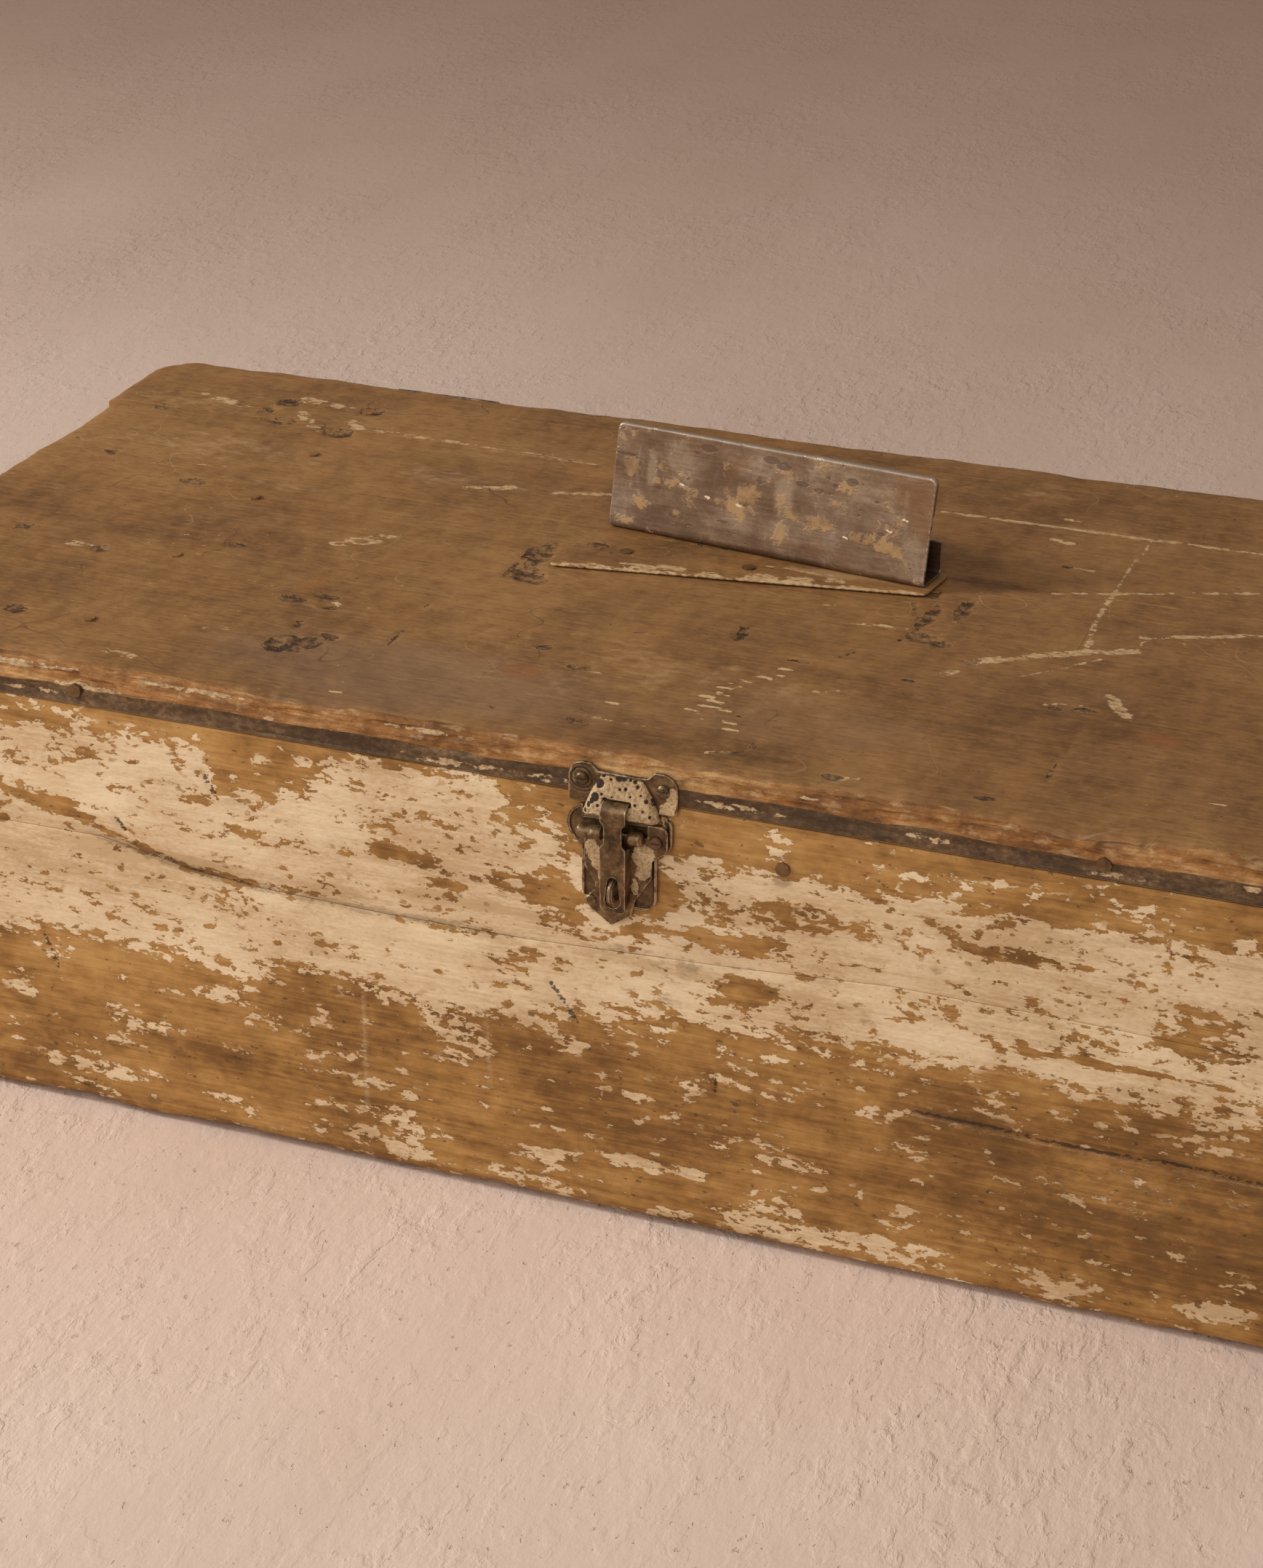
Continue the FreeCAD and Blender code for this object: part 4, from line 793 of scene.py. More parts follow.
# %% The finish of the lid
def stained_lid():
    """Mottled brown stain with scars, pale scratches, a bare edge and a dusty dark film."""
    f = Finish("stained_lid")
    colour, fibres, _ = wood(f, LID_WOOD, (20, 13), (130, 90))
    streaks = f.noise((190, 620, 620), 5, 0.66)
    mottle = f.noise((44, 30, 60), 7, 0.68)
    fine = f.noise((420, 700, 700), 4, 0.62)
    ragged = f.noise((130, 260, 300), 6, 0.62)
    worn = f.mark("worn", (mottle, 1.2)).rise(0.1, 1.1)
    hairs = 1 - abs(f.noise((26, 30, 26), 1, 0.3) - 0.5).rise(0, 0.005)
    hairs = hairs * f.noise((14, 17, 14), 2, 0.5).rise(0.52, 0.62)
    dark_hairs = 1 - abs(f.noise((17, 21, 17), 2, 0.4) - 0.47).rise(0, 0.004)
    dark_hairs = dark_hairs * f.noise((22, 12, 22), 2, 0.5).rise(0.54, 0.62)
    dust = f.noise((240, 300, 300), 3, 0.5) + f.noise((9, 14, 14), 2, 0.5) * 0.3
    pocks = f.noise((210, 300, 300), 4, 0.55).rise(0.7, 0.74)
    colour = f.coats(
        colour,
        (mottle.rise(0.4, 0.72) * 0.3, (156, 108, 62)),
        ((1 - mottle.rise(0.3, 0.54)) * 0.14, (106, 80, 54)),
        (streaks.rise(0.52, 0.66) * 0.26, (170, 132, 88)),
        ((1 - streaks.rise(0.34, 0.48)) * 0.34, (84, 58, 36)),
        (worn * (0.2 + streaks * 0.4), (138, 112, 88)),
        (hairs * 0.35, (176, 144, 106)),
        (dark_hairs * 0.45, SCAR_AND_SHADE),
        (dust.rise(0.9, 0.93) * 0.7, (190, 156, 114)),
        (pocks * 0.6, SCAR_AND_SHADE),
    )
    raw = f.mark("raw", (ragged, 1.3)).rise(0.44, 0.56)
    splinters = f.noise((30, 400, 420), 6, 0.66, warp=0.3)
    raw_colour = f.coats(
        wood(f, RAW_WOOD)[0],
        ((1 - splinters.rise(0.36, 0.5)) * 0.6, (112, 76, 44)),
        (ragged.rise(0.54, 0.64) * 0.35, (204, 168, 122)),
    )
    film = f.mark("film", (ragged, 0.9)).rise(0.42, 0.58)
    uneven = (ragged - 0.5) * 5 + (fine - 0.5) * 2 + 1
    grit = (f.mark("grit") * 1.5 * uneven).rise(0.42, 0.56)
    flake = f.mark("paint", (ragged, 1.6), (fine, 0.8)).rise(0.46, 0.53)
    smear = f.mark("haze", (mottle, 1.4), (ragged, 1.6)).rise(0.35, 0.9)
    pale = (f.mark("pale") * uneven).rise(0.4, 0.58)
    chunks = f.noise((210, 280, 280), 5)
    deep = f.mark("scar") * 1.2 * (uneven + (chunks - 0.5) * 3)
    scar = deep.rise(0.46, 0.6)
    lip = deep.rise(0.16, 0.36) * (1 - deep.rise(0.46, 0.58)) * ragged.rise(0.46, 0.6)
    red = f.mark("red", (mottle, 1.2)).rise(0.2, 0.9)
    colour = f.coats(
        colour,
        (raw, raw_colour),
        (film * 0.92, f.ramp(fine * 0.45 + mottle * 0.55, (0.42, 0.52, 0.64), DARK_FILM)),
        (grit * 0.85, f.ramp(fine, (0.4, 0.62), [(164, 134, 96), (210, 180, 138)])),
        (flake, (206, 171, 122)),
        (smear * 0.5, (186, 150, 106)),
        (pale * 0.9, f.ramp(fine, (0.4, 0.6), [(172, 134, 90), (208, 175, 132)])),
        (lip * 0.35, (168, 126, 80)),
        (scar * 0.85, f.ramp(chunks, (0.42, 0.5, 0.6), [(46, 33, 23), (88, 63, 41), (142, 106, 68)])),
        (red * 0.4, (146, 88, 44)),
    )
    relief = fibres * 0.14 + streaks * 0.1 + mottle * 0.3 - scar * (0.55 + (fine - 0.5) * 0.8)
    relief = relief - pocks * 0.15 + grit * 0.15 + flake * 0.1 + pale * 0.06 - hairs * 0.06
    relief = relief - dark_hairs * 0.1 + raw * (ragged * 1.2 + splinters - 1.1)
    rough = 0.52 + (streaks - 0.5) * 0.4 + raw * 0.15 + grit * 0.2 + scar * 0.3 + film * 0.12
    return f.shade(bare_inside(f, colour), rough, relief, gloss=DRY)


lid_finish = stained_lid()
print("lid finish", len(lid_finish.node_tree.nodes), "nodes")

# %% [markdown]
# ## Marks on the lid
# Stains, scars and smears are round patches: where each lies, how far it reaches each way, and how strong it
# is. Cuts and pale scratches are strokes: a path, a reach and, for the pale ones, a strength. On the front
# edge the places are x and z, and a chip also has a depth.

# %% Where the marks on the lid are
LID_TONES_AND_PLATE_SHADOW = [
    (-90, -40, 100, 60, 0.9), (170, -100, 110, 60, -0.5), (-220, -28, 90, 22, -1.5),
    (-330, 60, 160, 80, 0.9), (-200, 100, 140, 40, 0.8), (-150, 30, 120, 40, 0.5), (60, 120, 150, 24, -0.5),
    (150, 60, 90, 36, 0.1), (150, -70, 70, 30, -0.7), (190, -110, 70, 36, -0.6), (0, -90, 60, 30, 0.6),
    # The patches at (80, 30) and (76, 31), right of the steel plate's foot, are the plate's shadow painted on
    # the lid.
    (-60, -60, 60, 30, 0.7), (-90, -125, 70, 20, -0.5), (20, -135, 60, 14, -0.9), (80, 30, 30, 9, -1.2),
    (76, 31, 24, 6, -3), (110, -40, 40, 16, 0.5), (-270, -100, 50, 40, -0.4), (-60, 138, 120, 14, -1),
]
LID_SCARS = [
    (-144, -112, 11, 10, 1.5), (-138, -108, 8, 6, 1.2), (-134, -101, 7, 5, 0.9), (-148, -95, 3, 7, 0.7),
    (-92, -2, 6, 18, 1), (-90, -22, 9, 9, 1.2), (-84, -26, 7, 5, 0.9), (-82, 6, 5, 12, 0.6),
    (61, -6, 4, 16, 0.8), (71, 4, 4.5, 16, 0.75), (64, -26, 9, 6, 0.9), (71, -29, 6, 5, 0.85),
    (57, 14, 4, 7, 0.7), (3, -46, 3.6, 10, 0.75), (2, -40, 3, 3, 0.9), (-160, -74, 8, 6, 0.75),
    (-150, -68, 8, 5, 0.7), (-144, -76, 7, 4, 0.7), (-250, -56, 7, 5, 0.8), (-250, -118, 7, 6, 0.85),
    (-251, 20, 9, 6, 0.55), (-58, -82, 5, 3, 0.75), (-257, 118, 8, 8, 0.9), (-220, 121, 8, 7, 0.9),
    (-250, 97, 10, 6, 0.8), (-222, 92, 10, 8, 0.85), (-262, 106, 5, 8, 0.8), (30, -61, 9, 2.2, 0.75),
    (-25, -135, 9, 4, 0.5), (118, -142, 6, 3, 0.7), (132, -66, 7, 3, 0.8), (122, -68, 4, 2, 0.8),
    (96, 57, 3, 3, 0.9), (86, -40, 3, 3, 0.95), (70, -64, 6, 2, 0.6), (25, -112, 3, 2, 0.7),
    (-40, -94, 8, 4, 0.5), (-298, 38, 6, 5, 0.6), (-290, -46, 9, 7, 0.5), (-206, -34, 20, 5, 0.35),
    (68, -145, 6, 3, 0.7), (-305, 96, 8, 6, 0.5),
]
LID_CUTS = [
    ([(25, -142), (33, -139), (37, -134), (36, -128)], 1.3), ([(134, -73), (134, -98), (133, -123)], 0.8),
    ([(42, -52), (46, -44)], 0.9), ([(-76, 26), (-30, 22), (20, 16), (52, 11)], 2.4),
    ([(-98, 4), (-97, -26)], 1.4), ([(52, 4), (60, -20), (56, -32)], 1.2),
    ([(-112, -60), (-110, -110)], 0.5),
]
LID_PALE = [
    ([(86, -40), (104, -28), (122, -18), (137, -11)], 3.6, 0.75), ([(137, -11), (139, 2)], 1.6, 0.5),
    ([(137, 2), (156, 10), (177, 20)], 2.6, 0.7), ([(105, -46), (128, -22)], 0.9, 0.6),
    ([(120, 94), (118, 58), (118, 32)], 1.2, 0.65), ([(118, 32), (118, 8), (121, -16)], 2, 0.7),
    ([(97, 30), (124, 40), (167, 57)], 1.7, 0.6), ([(-148, 52), (-136, 56), (-130, 60)], 3.6, 0.62),
    ([(-112, 61), (-90, 66)], 3, 0.5), ([(-300, 28), (-262, 36), (-240, 42)], 3, 0.35),
    ([(-217, 100), (-170, 99), (-140, 97), (-90, 96)], 2.4, 0.62),
    ([(37, 95), (100, 95), (163, 96)], 1.9, 0.72), ([(-168, -18), (-153, -8)], 7, 0.5),
    ([(-264, -55), (-253, -56)], 4, 0.6), ([(32, -22), (56, -20)], 2.2, 0.5),
    ([(138, -52), (143, -62), (147, -66)], 4.2, 0.62), ([(118, -66), (130, -62)], 2, 0.5),
    ([(-296, 115), (-286, 112), (-272, 108)], 4, 0.5), ([(-252, 124), (-240, 122), (-230, 121)], 5, 0.6),
    ([(-246, 108), (-232, 92)], 4.5, 0.5), ([(-222, 106), (-216, 100)], 4, 0.6),
    ([(84, 82), (92, 80)], 2.4, 0.7), ([(42, -84), (50, -81)], 2, 0.5),
    ([(-40, -94), (-28, -97)], 2.2, 0.5), ([(23, -9), (29, -9)], 1.2, 0.9),
    ([(-200, -140), (-190, -142)], 4, 0.5), ([(-144, -72), (-138, -76)], 2.4, 0.7),
    ([(-178, -110), (-170, -108)], 2, 0.6), ([(98, 56), (106, 56)], 1.2, 0.8),
    ([(-24, -130), (0, -131)], 1.6, 0.45), ([(78, -56), (82, -50)], 4, 0.4),
    ([(66, -146), (76, -143)], 1.8, 0.7), ([(24, -142), (32, -139)], 1.2, 0.8),
    ([(84, 104), (90, 104)], 2.2, 0.6),
]
LID_HAZE = [
    (-260, 60, 90, 26, 0.5), (-150, 60, 70, 14, 0.4), (-300, 108, 50, 14, 0.6), (-160, 98, 80, 6, 0.5),
    (60, 128, 34, 6, 0.6), (100, 95, 70, 6, 0.4), (-20, -90, 120, 44, 0.42), (-160, -14, 16, 8, 0.5),
    (-70, -20, 60, 20, 0.25), (-215, 28, 40, 9, 0.5), (60, 105, 40, 5, 0.3),
]
LID_WORN = [
    (-90, -122, 120, 46, 0.9), (40, -110, 90, 40, 0.5), (-150, 60, 60, 20, 0.4), (110, -60, 80, 40, 0.3),
]
LID_RED = [
    (-58, -104, 12, 9, 1.1), (160, -80, 14, 10, 0.8), (-160, -55, 8, 30, 0.5), (105, -50, 10, 12, 0.5),
    (-195, -95, 10, 16, 0.4), (40, -100, 20, 10, 0.3), (-30, 120, 30, 8, 0.3),
]
CREAM_DASHES = [
    (26, -75), (23, -79), (17, -84), (13, -92), (14, -97), (10, -101), (14, -104), (12, -108), (19, -109),
    (9, -113), (12, -118), (23, -118), (26, -123), (15, -88), (188, -120), (-111, -142), (28, -70),
    (-19, -117),
]
DASH = 2.6
FILM_TOP = 172.5
LID_CORNER = 17.0
LID_HALF_DEEP = 150
FINE_BAND = 9
JOINT_RIM = 1.2
FAR = 99
ARRIS_CHIPS = [
    (-212, 176, 14, 3, 1.1), (-196, 174, 10, 2.4, 1), (-176, 178, 18, 2.2, 0.8), (-120, 176, 22, 2.6, 0.8),
    (-84, 178, 14, 2.4, 0.9), (-58, 175, 11, 4, 1), (-30, 177, 13, 2.6, 0.7), (34, 176, 15, 3.4, 1),
    (60, 173, 12, 2.4, 0.8), (96, 175, 18, 3, 0.9), (128, 177, 14, 2.6, 0.8), (168, 178, 12, 3.2, 1.1),
    (200, 176, 16, 2.8, 0.8), (-246, 177, 18, 2.6, 0.9), (-290, 176, 20, 2.8, 0.8), (-145, 179, 9, 2, 0.7),
    (14, 178.5, 8, 1.8, 0.6), (80, 179, 10, 1.8, 0.7), (150, 174, 10, 2, 0.7), (240, 177, 18, 2.6, 0.8),
    (290, 176, 20, 2.8, 0.9),
]
ARRIS_HOLES = [(-205, 176.5, 2.2, 1.6), (172.5, 179.4, 2, 1.4), (-203, 172, 1.4, 1)]
ARRIS_GRIT = [
    (-225, 179, 34, 2.6, 0.6), (-200, 173, 24, 2, 0.5), (-160, 179, 34, 2.2, 0.55),
    (-70, 178.5, 32, 2, 0.45), (-280, 179, 40, 2.4, 0.6), (-120, 173, 40, 1.6, 0.3),
    (104, 170, 12, 2.6, 0.5), (60, 178, 20, 2, 0.3), (-60, 168, 60, 3, 0.25), (168, 168, 30, 2.4, 0.3),
    (40, 169, 26, 2.6, 0.35), (-25, 168, 12, 3, 0.45), (120, 179, 40, 1.4, 0.25), (210, 171, 20, 2, 0.3),
    (-220, 169, 30, 2, 0.3),
]
print("marks on the lid", len(LID_SCARS) + len(LID_CUTS) + len(LID_PALE))


# %% The three lid boards
def edge_wear(x, spread, seed):
    """How far an edge is worn back along x, in millimetres."""
    line = np.column_stack([x, 0 * x, 0 * x])
    wear = 1 + 0.7 * ripples(line, (14, 1, 1), seed, 4) + 0.35 * ripples(line, (70, 1, 1), seed + 5)
    return spread * np.clip(wear, 0.3, 2.2)


def refine(piece, chosen):
    """Halves the picked faces both ways."""
    pick(piece.data.polygons, chosen)
    with editing(piece, face=True):
        bpy.ops.mesh.subdivide(number_cuts=1)


def rounding(away, wear, wide, deep):
    """How much an edge is rounded at a distance from it."""
    return np.clip(1 - away / (wide * wear), 0, 1) ** 2 * deep * wear


def wear_arris(piece, low, high):
    """The lid's front edge: rounded, chipped along the grain, with a hole and pits."""
    points = points_of(piece)
    x, y, z = points.T
    from_edge = np.maximum(y - low.y, 0) + np.maximum(high.z - z, 0)
    corner = rounding(from_edge, edge_wear(x, 3.8, 2.0), 2.1, 0.5)
    chips = np.zeros(len(x))
    for x0, z0, long, tall, deep in ARRIS_CHIPS:
        ragged = 1 + 0.25 * ripples(points, (160, 1, 160), x0, 2)
        away = np.hypot((x - x0) / long, (z - z0) / tall) * ragged
        chips = np.maximum(chips, 0.8 * deep * smooth((1 - away) * 3.5))
    for x0, z0, size, deep in ARRIS_HOLES:
        chips = np.maximum(chips, deep * smooth(1.6 - np.hypot(x - x0, z - z0) / size))
    waves = np.clip(0.3 + 0.6 * ripples(points, (26, 1, 280), 21.0), 0, 1.1)
    near = smooth(1.5 - (y - low.y) / 6)
    press(piece, "Y", (corner + (chips + waves) * near) * (z > low.z + 1.2))
    return corner


def round_corner(piece, axes, corner, inward, radius):
    """Makes a square corner round. Inward says which way the piece lies along each of two axes."""
    u, v = (points_of(piece)[:, "XYZ".index(axis)] for axis in axes)
    across = np.clip(radius - (u - corner[0]) * inward[0], 0, radius)
    along = np.clip(radius - (v - corner[1]) * inward[1], 0, radius)
    share = np.maximum(across, along) / np.maximum(np.hypot(across, along), 1e-6)
    near = (across > 0) & (along > 0)
    for axis, amount, way in zip(axes, (across, along), inward):
        press(piece, axis, np.where(near, way * amount * (1 - share), 0))


def dress_lid(node):
    """A lid board with worn edges and the marks that lie on it."""
    piece = board(node, "up", cell=1.5, rim=1)
    low, high = (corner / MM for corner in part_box(node))
    front_one, back_one = low.y < -LID_HALF_DEEP, high.y > LID_HALF_DEEP
    down = 0
    if front_one:
        middles = read(piece.data.polygons, "center", 3)[:, 1] / MM
        small = read(piece.data.polygons, "area", 1)[:, 0] < 4 * MM * MM
        refine(piece, (middles < low.y + FINE_BAND) & small)
        down = wear_arris(piece, low, high)
    points = points_of(piece)
    x, y, z = points.T
    top = smooth((z - low.z) / (high.z - low.z))
    for side in (low.x, high.x):
        down = down + rounding(np.abs(x - side), edge_wear(y, 2.2, 7.0 + side), 2.4, 0.6)
    if back_one:
        down = down + rounding(high.y - y, edge_wear(x, 2.6, 5.0), 2.2, 0.5)
        round_corner(piece, "XY", (low.x, high.y), (1, -1), LID_CORNER)
        points = points_of(piece)
        x, y, z = points.T
    scars = most_of(x, y, LID_SCARS)
    cuts = sum(stroke(x, y, path, reach * 1.4) for path, reach in LID_CUTS)
    bumpy = 0.6 + 0.8 * ripples(points, (120, 160, 1), 15.0)
    down = down + top * (1.1 * scars * np.clip(bumpy, 0, 1.2) + 0.5 * np.clip(cuts, 0, 1))
    waves = 0.4 + 0.4 * ripples(points, (7, 20, 1), 3.0) + 0.15 * ripples(points, (60, 110, 1), 8.0)
    joint = np.minimum(FAR if front_one else y - low.y, FAR if back_one else high.y - y)
    filled = 0.8 * (high.z - z) * (joint < JOINT_RIM) * (z > high.z - JOINT_RIM)
    press(piece, "Z", filled - down - top * np.clip(waves, 0, 1))
    face = (z > high.z - 8) & (y > low.y + (2.5 if front_one else 1))
    dashes = sum(stroke(x, y, [(u - DASH, v), (u + DASH, v - 0.8)], 1.4) for u, v in CREAM_DASHES)
    scratches = sum(share * smooth(1.6 * stroke(x, y, path, reach)) for path, reach, share in LID_PALE)
    lay(
        piece,
        scar=(scars + 0.9 * sum(stroke(x, y, path, reach) for path, reach in LID_CUTS)) * face,
        pale=scratches * face,
        haze=most_of(x, y, LID_HAZE) * face,
        red=most_of(x, y, LID_RED) * face,
        worn=most_of(x, y, LID_WORN) * face,
        tone=dabs(x, y, LID_TONES_AND_PLATE_SHADOW),
        paint=np.clip(dashes, 0, 1) * face,
    )
    if front_one:
        above = z - FILM_TOP - 1.3 * ripples(points, (24, 1, 1), 12.0, 4)
        over = low.y + 3.5 + 2.5 * ripples(points, (18, 1, 1), 30.0, 4)
        lay(
            piece,
            raw=smooth(above / 1.2 + 0.5) * smooth((over - y) / 1.6 + 0.5),
            film=smooth(0.5 - above / 1.2) * (y < low.y + 4),
            grit=most_of(x, z, ARRIS_GRIT) * (y < low.y + 5),
        )
    settle(piece, node, "lid", lid_finish)


for node in ("lid_board_front", "lid_board_middle", "lid_board_back"):
    dress_lid(node)

# %% [markdown]
# ## Iron and steel
# The catch is thin pressed steel. It is browned by age, bright where it rubs and rusty in its corners, and
# three of its faces keep scraps of a gritty cream paint with round dark pits. A copy of each plate is
# meshed anew in small even faces, which rounds its edges a little, and can then be pitted. How sharply the
# surface bends at each point is measured on the mesh: it tells the finish where hands and weather rub.

# %% Metal that shows its edges
BRONZE = ((66, 48, 30), (103, 78, 50), (146, 118, 80))
BRIGHT = (188, 164, 130)
HINGE = ((66, 56, 48), (100, 86, 74), (136, 120, 104))
IRON = ((84, 62, 42), (112, 84, 54), (136, 104, 68))
PAINT_SHELL = ((152, 120, 82), (188, 157, 115), (208, 181, 138))


def old_metal(name, colours, rust=0.25, fine=1.0):
    """Browned metal, bright on its ridges and rusty in its corners, with pitted paint where it is laid."""
    f = Finish(name)
    clouds = f.noise(150 * fine, 6, 0.62)
    grit = f.noise(900, 4, 0.65)
    scaly = f.noise(330, 5, 0.62)
    rusty = f.noise(110 * fine, 7, 0.68, warp=0.3) + f.mark("rust") * 0.25 + f.mark("nook") * 0.08
    rusty = rusty.rise(0.7 - 0.2 * rust, 0.8 - 0.2 * rust)
    nook = f.mark("nook", (clouds, 1.4)).rise(0.2, 0.8)
    rub = f.mark("rub", (grit, 1.2), (f.noise(260), 3.2)).rise(0.45, 1.15)
    paint = (f.mark("paint", (scaly, 2)) - rub * 0.15).rise(0.47, 0.53)
    pit = f.mark("pit", (scaly, 0.9)).rise(0.42, 0.58)
    shell = f.coats(
        f.ramp(grit * 0.7 + clouds * 0.3, (0.43, 0.5, 0.57), PAINT_SHELL),
        (grit.rise(0.55, 0.63) * 0.55, (128, 98, 68)),
    )
    colour = f.coats(
        f.ramp(clouds * 0.75 + grit * 0.25, (0.4, 0.52, 0.66), colours),
        (rusty * 0.7, f.ramp(grit, (0.4, 0.6), [(92, 56, 32), (128, 76, 38)])),
        (nook * 0.6, (36, 27, 19)), (rub * 0.65, BRIGHT), (paint, shell), (pit, (52, 38, 28)),
    )
    metal = (0.6 - rusty * 0.5) * (1 - paint)
    rough = 0.4 + (grit - 0.5) * 0.3 + rusty * 0.3 - rub * 0.1 + paint * 0.35 + pit * 0.2
    relief = clouds * 0.22 + grit * 0.07 - nook * 0.05 + paint * (0.12 + grit * 0.5) - pit * 0.25
    return f.shade(colour, rough, relief, metal)


catch_metal = old_metal("browned_catch", BRONZE)
painted_metal = old_metal("painted_catch", BRONZE)
hinge_metal = old_metal("hinge_steel", HINGE, rust=0.6, fine=0.5)
nail_metal = old_metal("nail_iron", IRON, rust=0.5)
print("metals", catch_metal.name, hinge_metal.name, nail_metal.name)


# %% Mesh a plate anew and find its ridges
SOFTENING_ROUNDS = 3


def copied(name, node):
    """A copy of a node's mesh, its doubled points merged."""
    piece = bpy.data.objects.new(name, frame["nodes"][node].data.copy())
    bpy.context.scene.collection.objects.link(piece)
    with editing(piece, vertex=True):
        bpy.ops.mesh.select_all(action="SELECT")
        bpy.ops.mesh.remove_doubles(threshold=0.01 * MM)
    return piece


def forge(node, size, rounds=3):
    """A copy of a node's mesh in even small faces, its edges rounded a little. Size is in millimetres."""
    piece = copied(node + "_worn", node)
    even = piece.modifiers.new("even", "REMESH")
    even.mode = "VOXEL"
    even.voxel_size = size * MM
    rounded = piece.modifiers.new("rounded", "SMOOTH")
    rounded.factor = 0.5
    rounded.iterations = rounds
    apply_all(piece)
    return piece


def dent(piece, deep, per_metre, seed):
    """Presses small dents into a metal piece, up to twice as deep as deep says."""
    press(piece, "NORMAL", deep * ripples(points_of(piece), [per_metre] * 3, seed) - deep)


def bends(piece):
    """How sharply a surface bends at each point, per millimetre: above 0 on ridges, below 0 in corners."""
    mesh = piece.data
    points = points_of(piece)
    normals = read(mesh.vertices, "normal", 3)
    a, b = read(mesh.edges, "vertices", 2, int).T
    count = len(mesh.vertices)
    way = points[b] - points[a]
    bend = ((normals[b] - normals[a]) * way).sum(axis=1) / np.maximum((way * way).sum(axis=1), 1e-6)
    links = np.bincount(a, minlength=count) + np.bincount(b, minlength=count)
    value = (np.bincount(a, bend, count) + np.bincount(b, bend, count)) / links
    for _ in range(SOFTENING_ROUNDS):
        value = (value + (np.bincount(a, value[b], count) + np.bincount(b, value[a], count)) / links) / 2
    return value


def finish_metal(piece, node, body, slot, material, shine=1.0, **marks):
    """Measures the ridges, lays the marks, and puts the piece in its place."""
    bend = bends(piece)
    lay(piece, rub=shine * np.clip(bend, 0, 1.2), nook=np.clip(-bend * 1.6, 0, 1.2), **marks)
    settle(piece, node, body, material, angle=60)


print("metal pieces can be meshed anew, dented and finished")

# %% [markdown]
# ## The catch
# The keeper's hood keeps most of its cream paint, with round pits down to the dark steel. The front plate
# keeps a narrow patch left of the hasp and a broad one right of it. The left ear shows rings pressed round
# its screw. The hasp is bare and worn smooth. Places on the catch are x and z.

# %% Marks on the catch
HOOD_PITS = [
    (-7.6, 170.9, 1.5), (-0.9, 173.6, 1.3), (0.6, 173.9, 1.2), (1.6, 170.3, 0.6), (-8.9, 166.2, 1.5),
    (-5.2, 165.9, 0.8), (-11, 163.5, 0.8), (-7.6, 163.6, 0.5), (5.7, 171.6, 0.6), (-0.4, 169.9, 0.5),
    (-6.6, 167.4, 0.5), (9.1, 167.4, 0.7), (5.3, 165.6, 0.5), (-10, 164.8, 0.9), (3, 173.4, 0.5),
    (-3.8, 172.6, 0.5), (-6.4, 173.6, 0.6), (7, 169, 0.4), (10.8, 162.6, 0.6), (3.4, 168, 0.4),
    (-3, 167, 0.35), (8.2, 164, 0.4), (-12, 161.4, 0.6), (4.6, 173, 0.7),
]
HOOD_PAINT = [
    (0, 167, 17, 12, 1.25), (9, 163.4, 7, 4.4, 1.2), (12.4, 161.4, 4, 3.4, 1), (-9, 163.4, 6, 4, 1.1),
    (-12, 161.5, 3, 2.4, 0.7),
]
EAR_PAINT = [
    (17.6, 169, 3.4, 6, 1.1), (15.6, 163.5, 4.4, 4.4, 1.2), (16.8, 165.8, 3.4, 3.6, 1.2),
    (-14, 162.5, 3, 1.6, 0.4),
]
LEAF_PAINT = [
    (8.6, 148, 4.6, 4.4, 1.1), (-9.6, 145, 3.4, 5.4, 1.1), (-10.6, 147, 3.4, 5.4, 1.1),
    (-9.2, 142, 2.8, 5, 1), (-7.4, 137, 1.8, 4.6, 0.9), (6.6, 146, 4.6, 5.4, 1.1),
    (9.4, 144.5, 3.4, 4.4, 1.1), (7.6, 140.5, 4.2, 5, 1), (4.8, 135, 2.2, 5, 0.9), (-6.4, 133, 1.6, 4, 0.9),
    (-2, 123, 2.4, 2.2, 0.35),
]
LEAF_RUST = [(2, 129, 6, 6, 0.9), (-2, 122, 5, 4, 0.6), (-9, 152, 4, 3, 0.5), (4.4, 140, 2, 12, 1)]
EAR_SCREW = (-14.4, 171.2)
LEAF_HOLES = [(-10.9, 127.1, 3), (12.1, 152.8, 3)]
EAR_RINGS = [(3.7, 0.55, 1), (5, 0.4, 0.7)]
EAR_FACE = -155.9
EAR_INSIDE = -9
HOOD_FACE = -156.9
HOOD_TOP = 175.6
LEAF_FACE = -157.2
LEAF_TOP = 153
print("pits in the hood", len(HOOD_PITS))

# %% The keeper and the front plate
keeper = forge("keeper_plate", 0.24)
x, y, z = points_of(keeper).T
on_hood = (y < HOOD_FACE) & (z < HOOD_TOP)
pits = spots(x, z, HOOD_PITS) * on_hood
from_screw = np.hypot(x - EAR_SCREW[0], z - EAR_SCREW[1])
rings = [share * smooth(1 - abs(from_screw - far) / wide) for far, wide, share in EAR_RINGS]
rings = np.max(rings, axis=0) * (y < EAR_FACE) * (x < EAR_INSIDE)
press(keeper, "NORMAL", -(0.34 * pits + 0.3 * rings))
paint = np.where(on_hood, most_of(x, z, HOOD_PAINT), most_of(x, z, EAR_PAINT))
finish_metal(
    keeper, "keeper_plate", "lid", "catch_painted", painted_metal,
    paint=paint * (y < EAR_FACE), pit=pits, rust=most_of(x, z, [(-13, 165, 5, 4, 0.7)]),
)

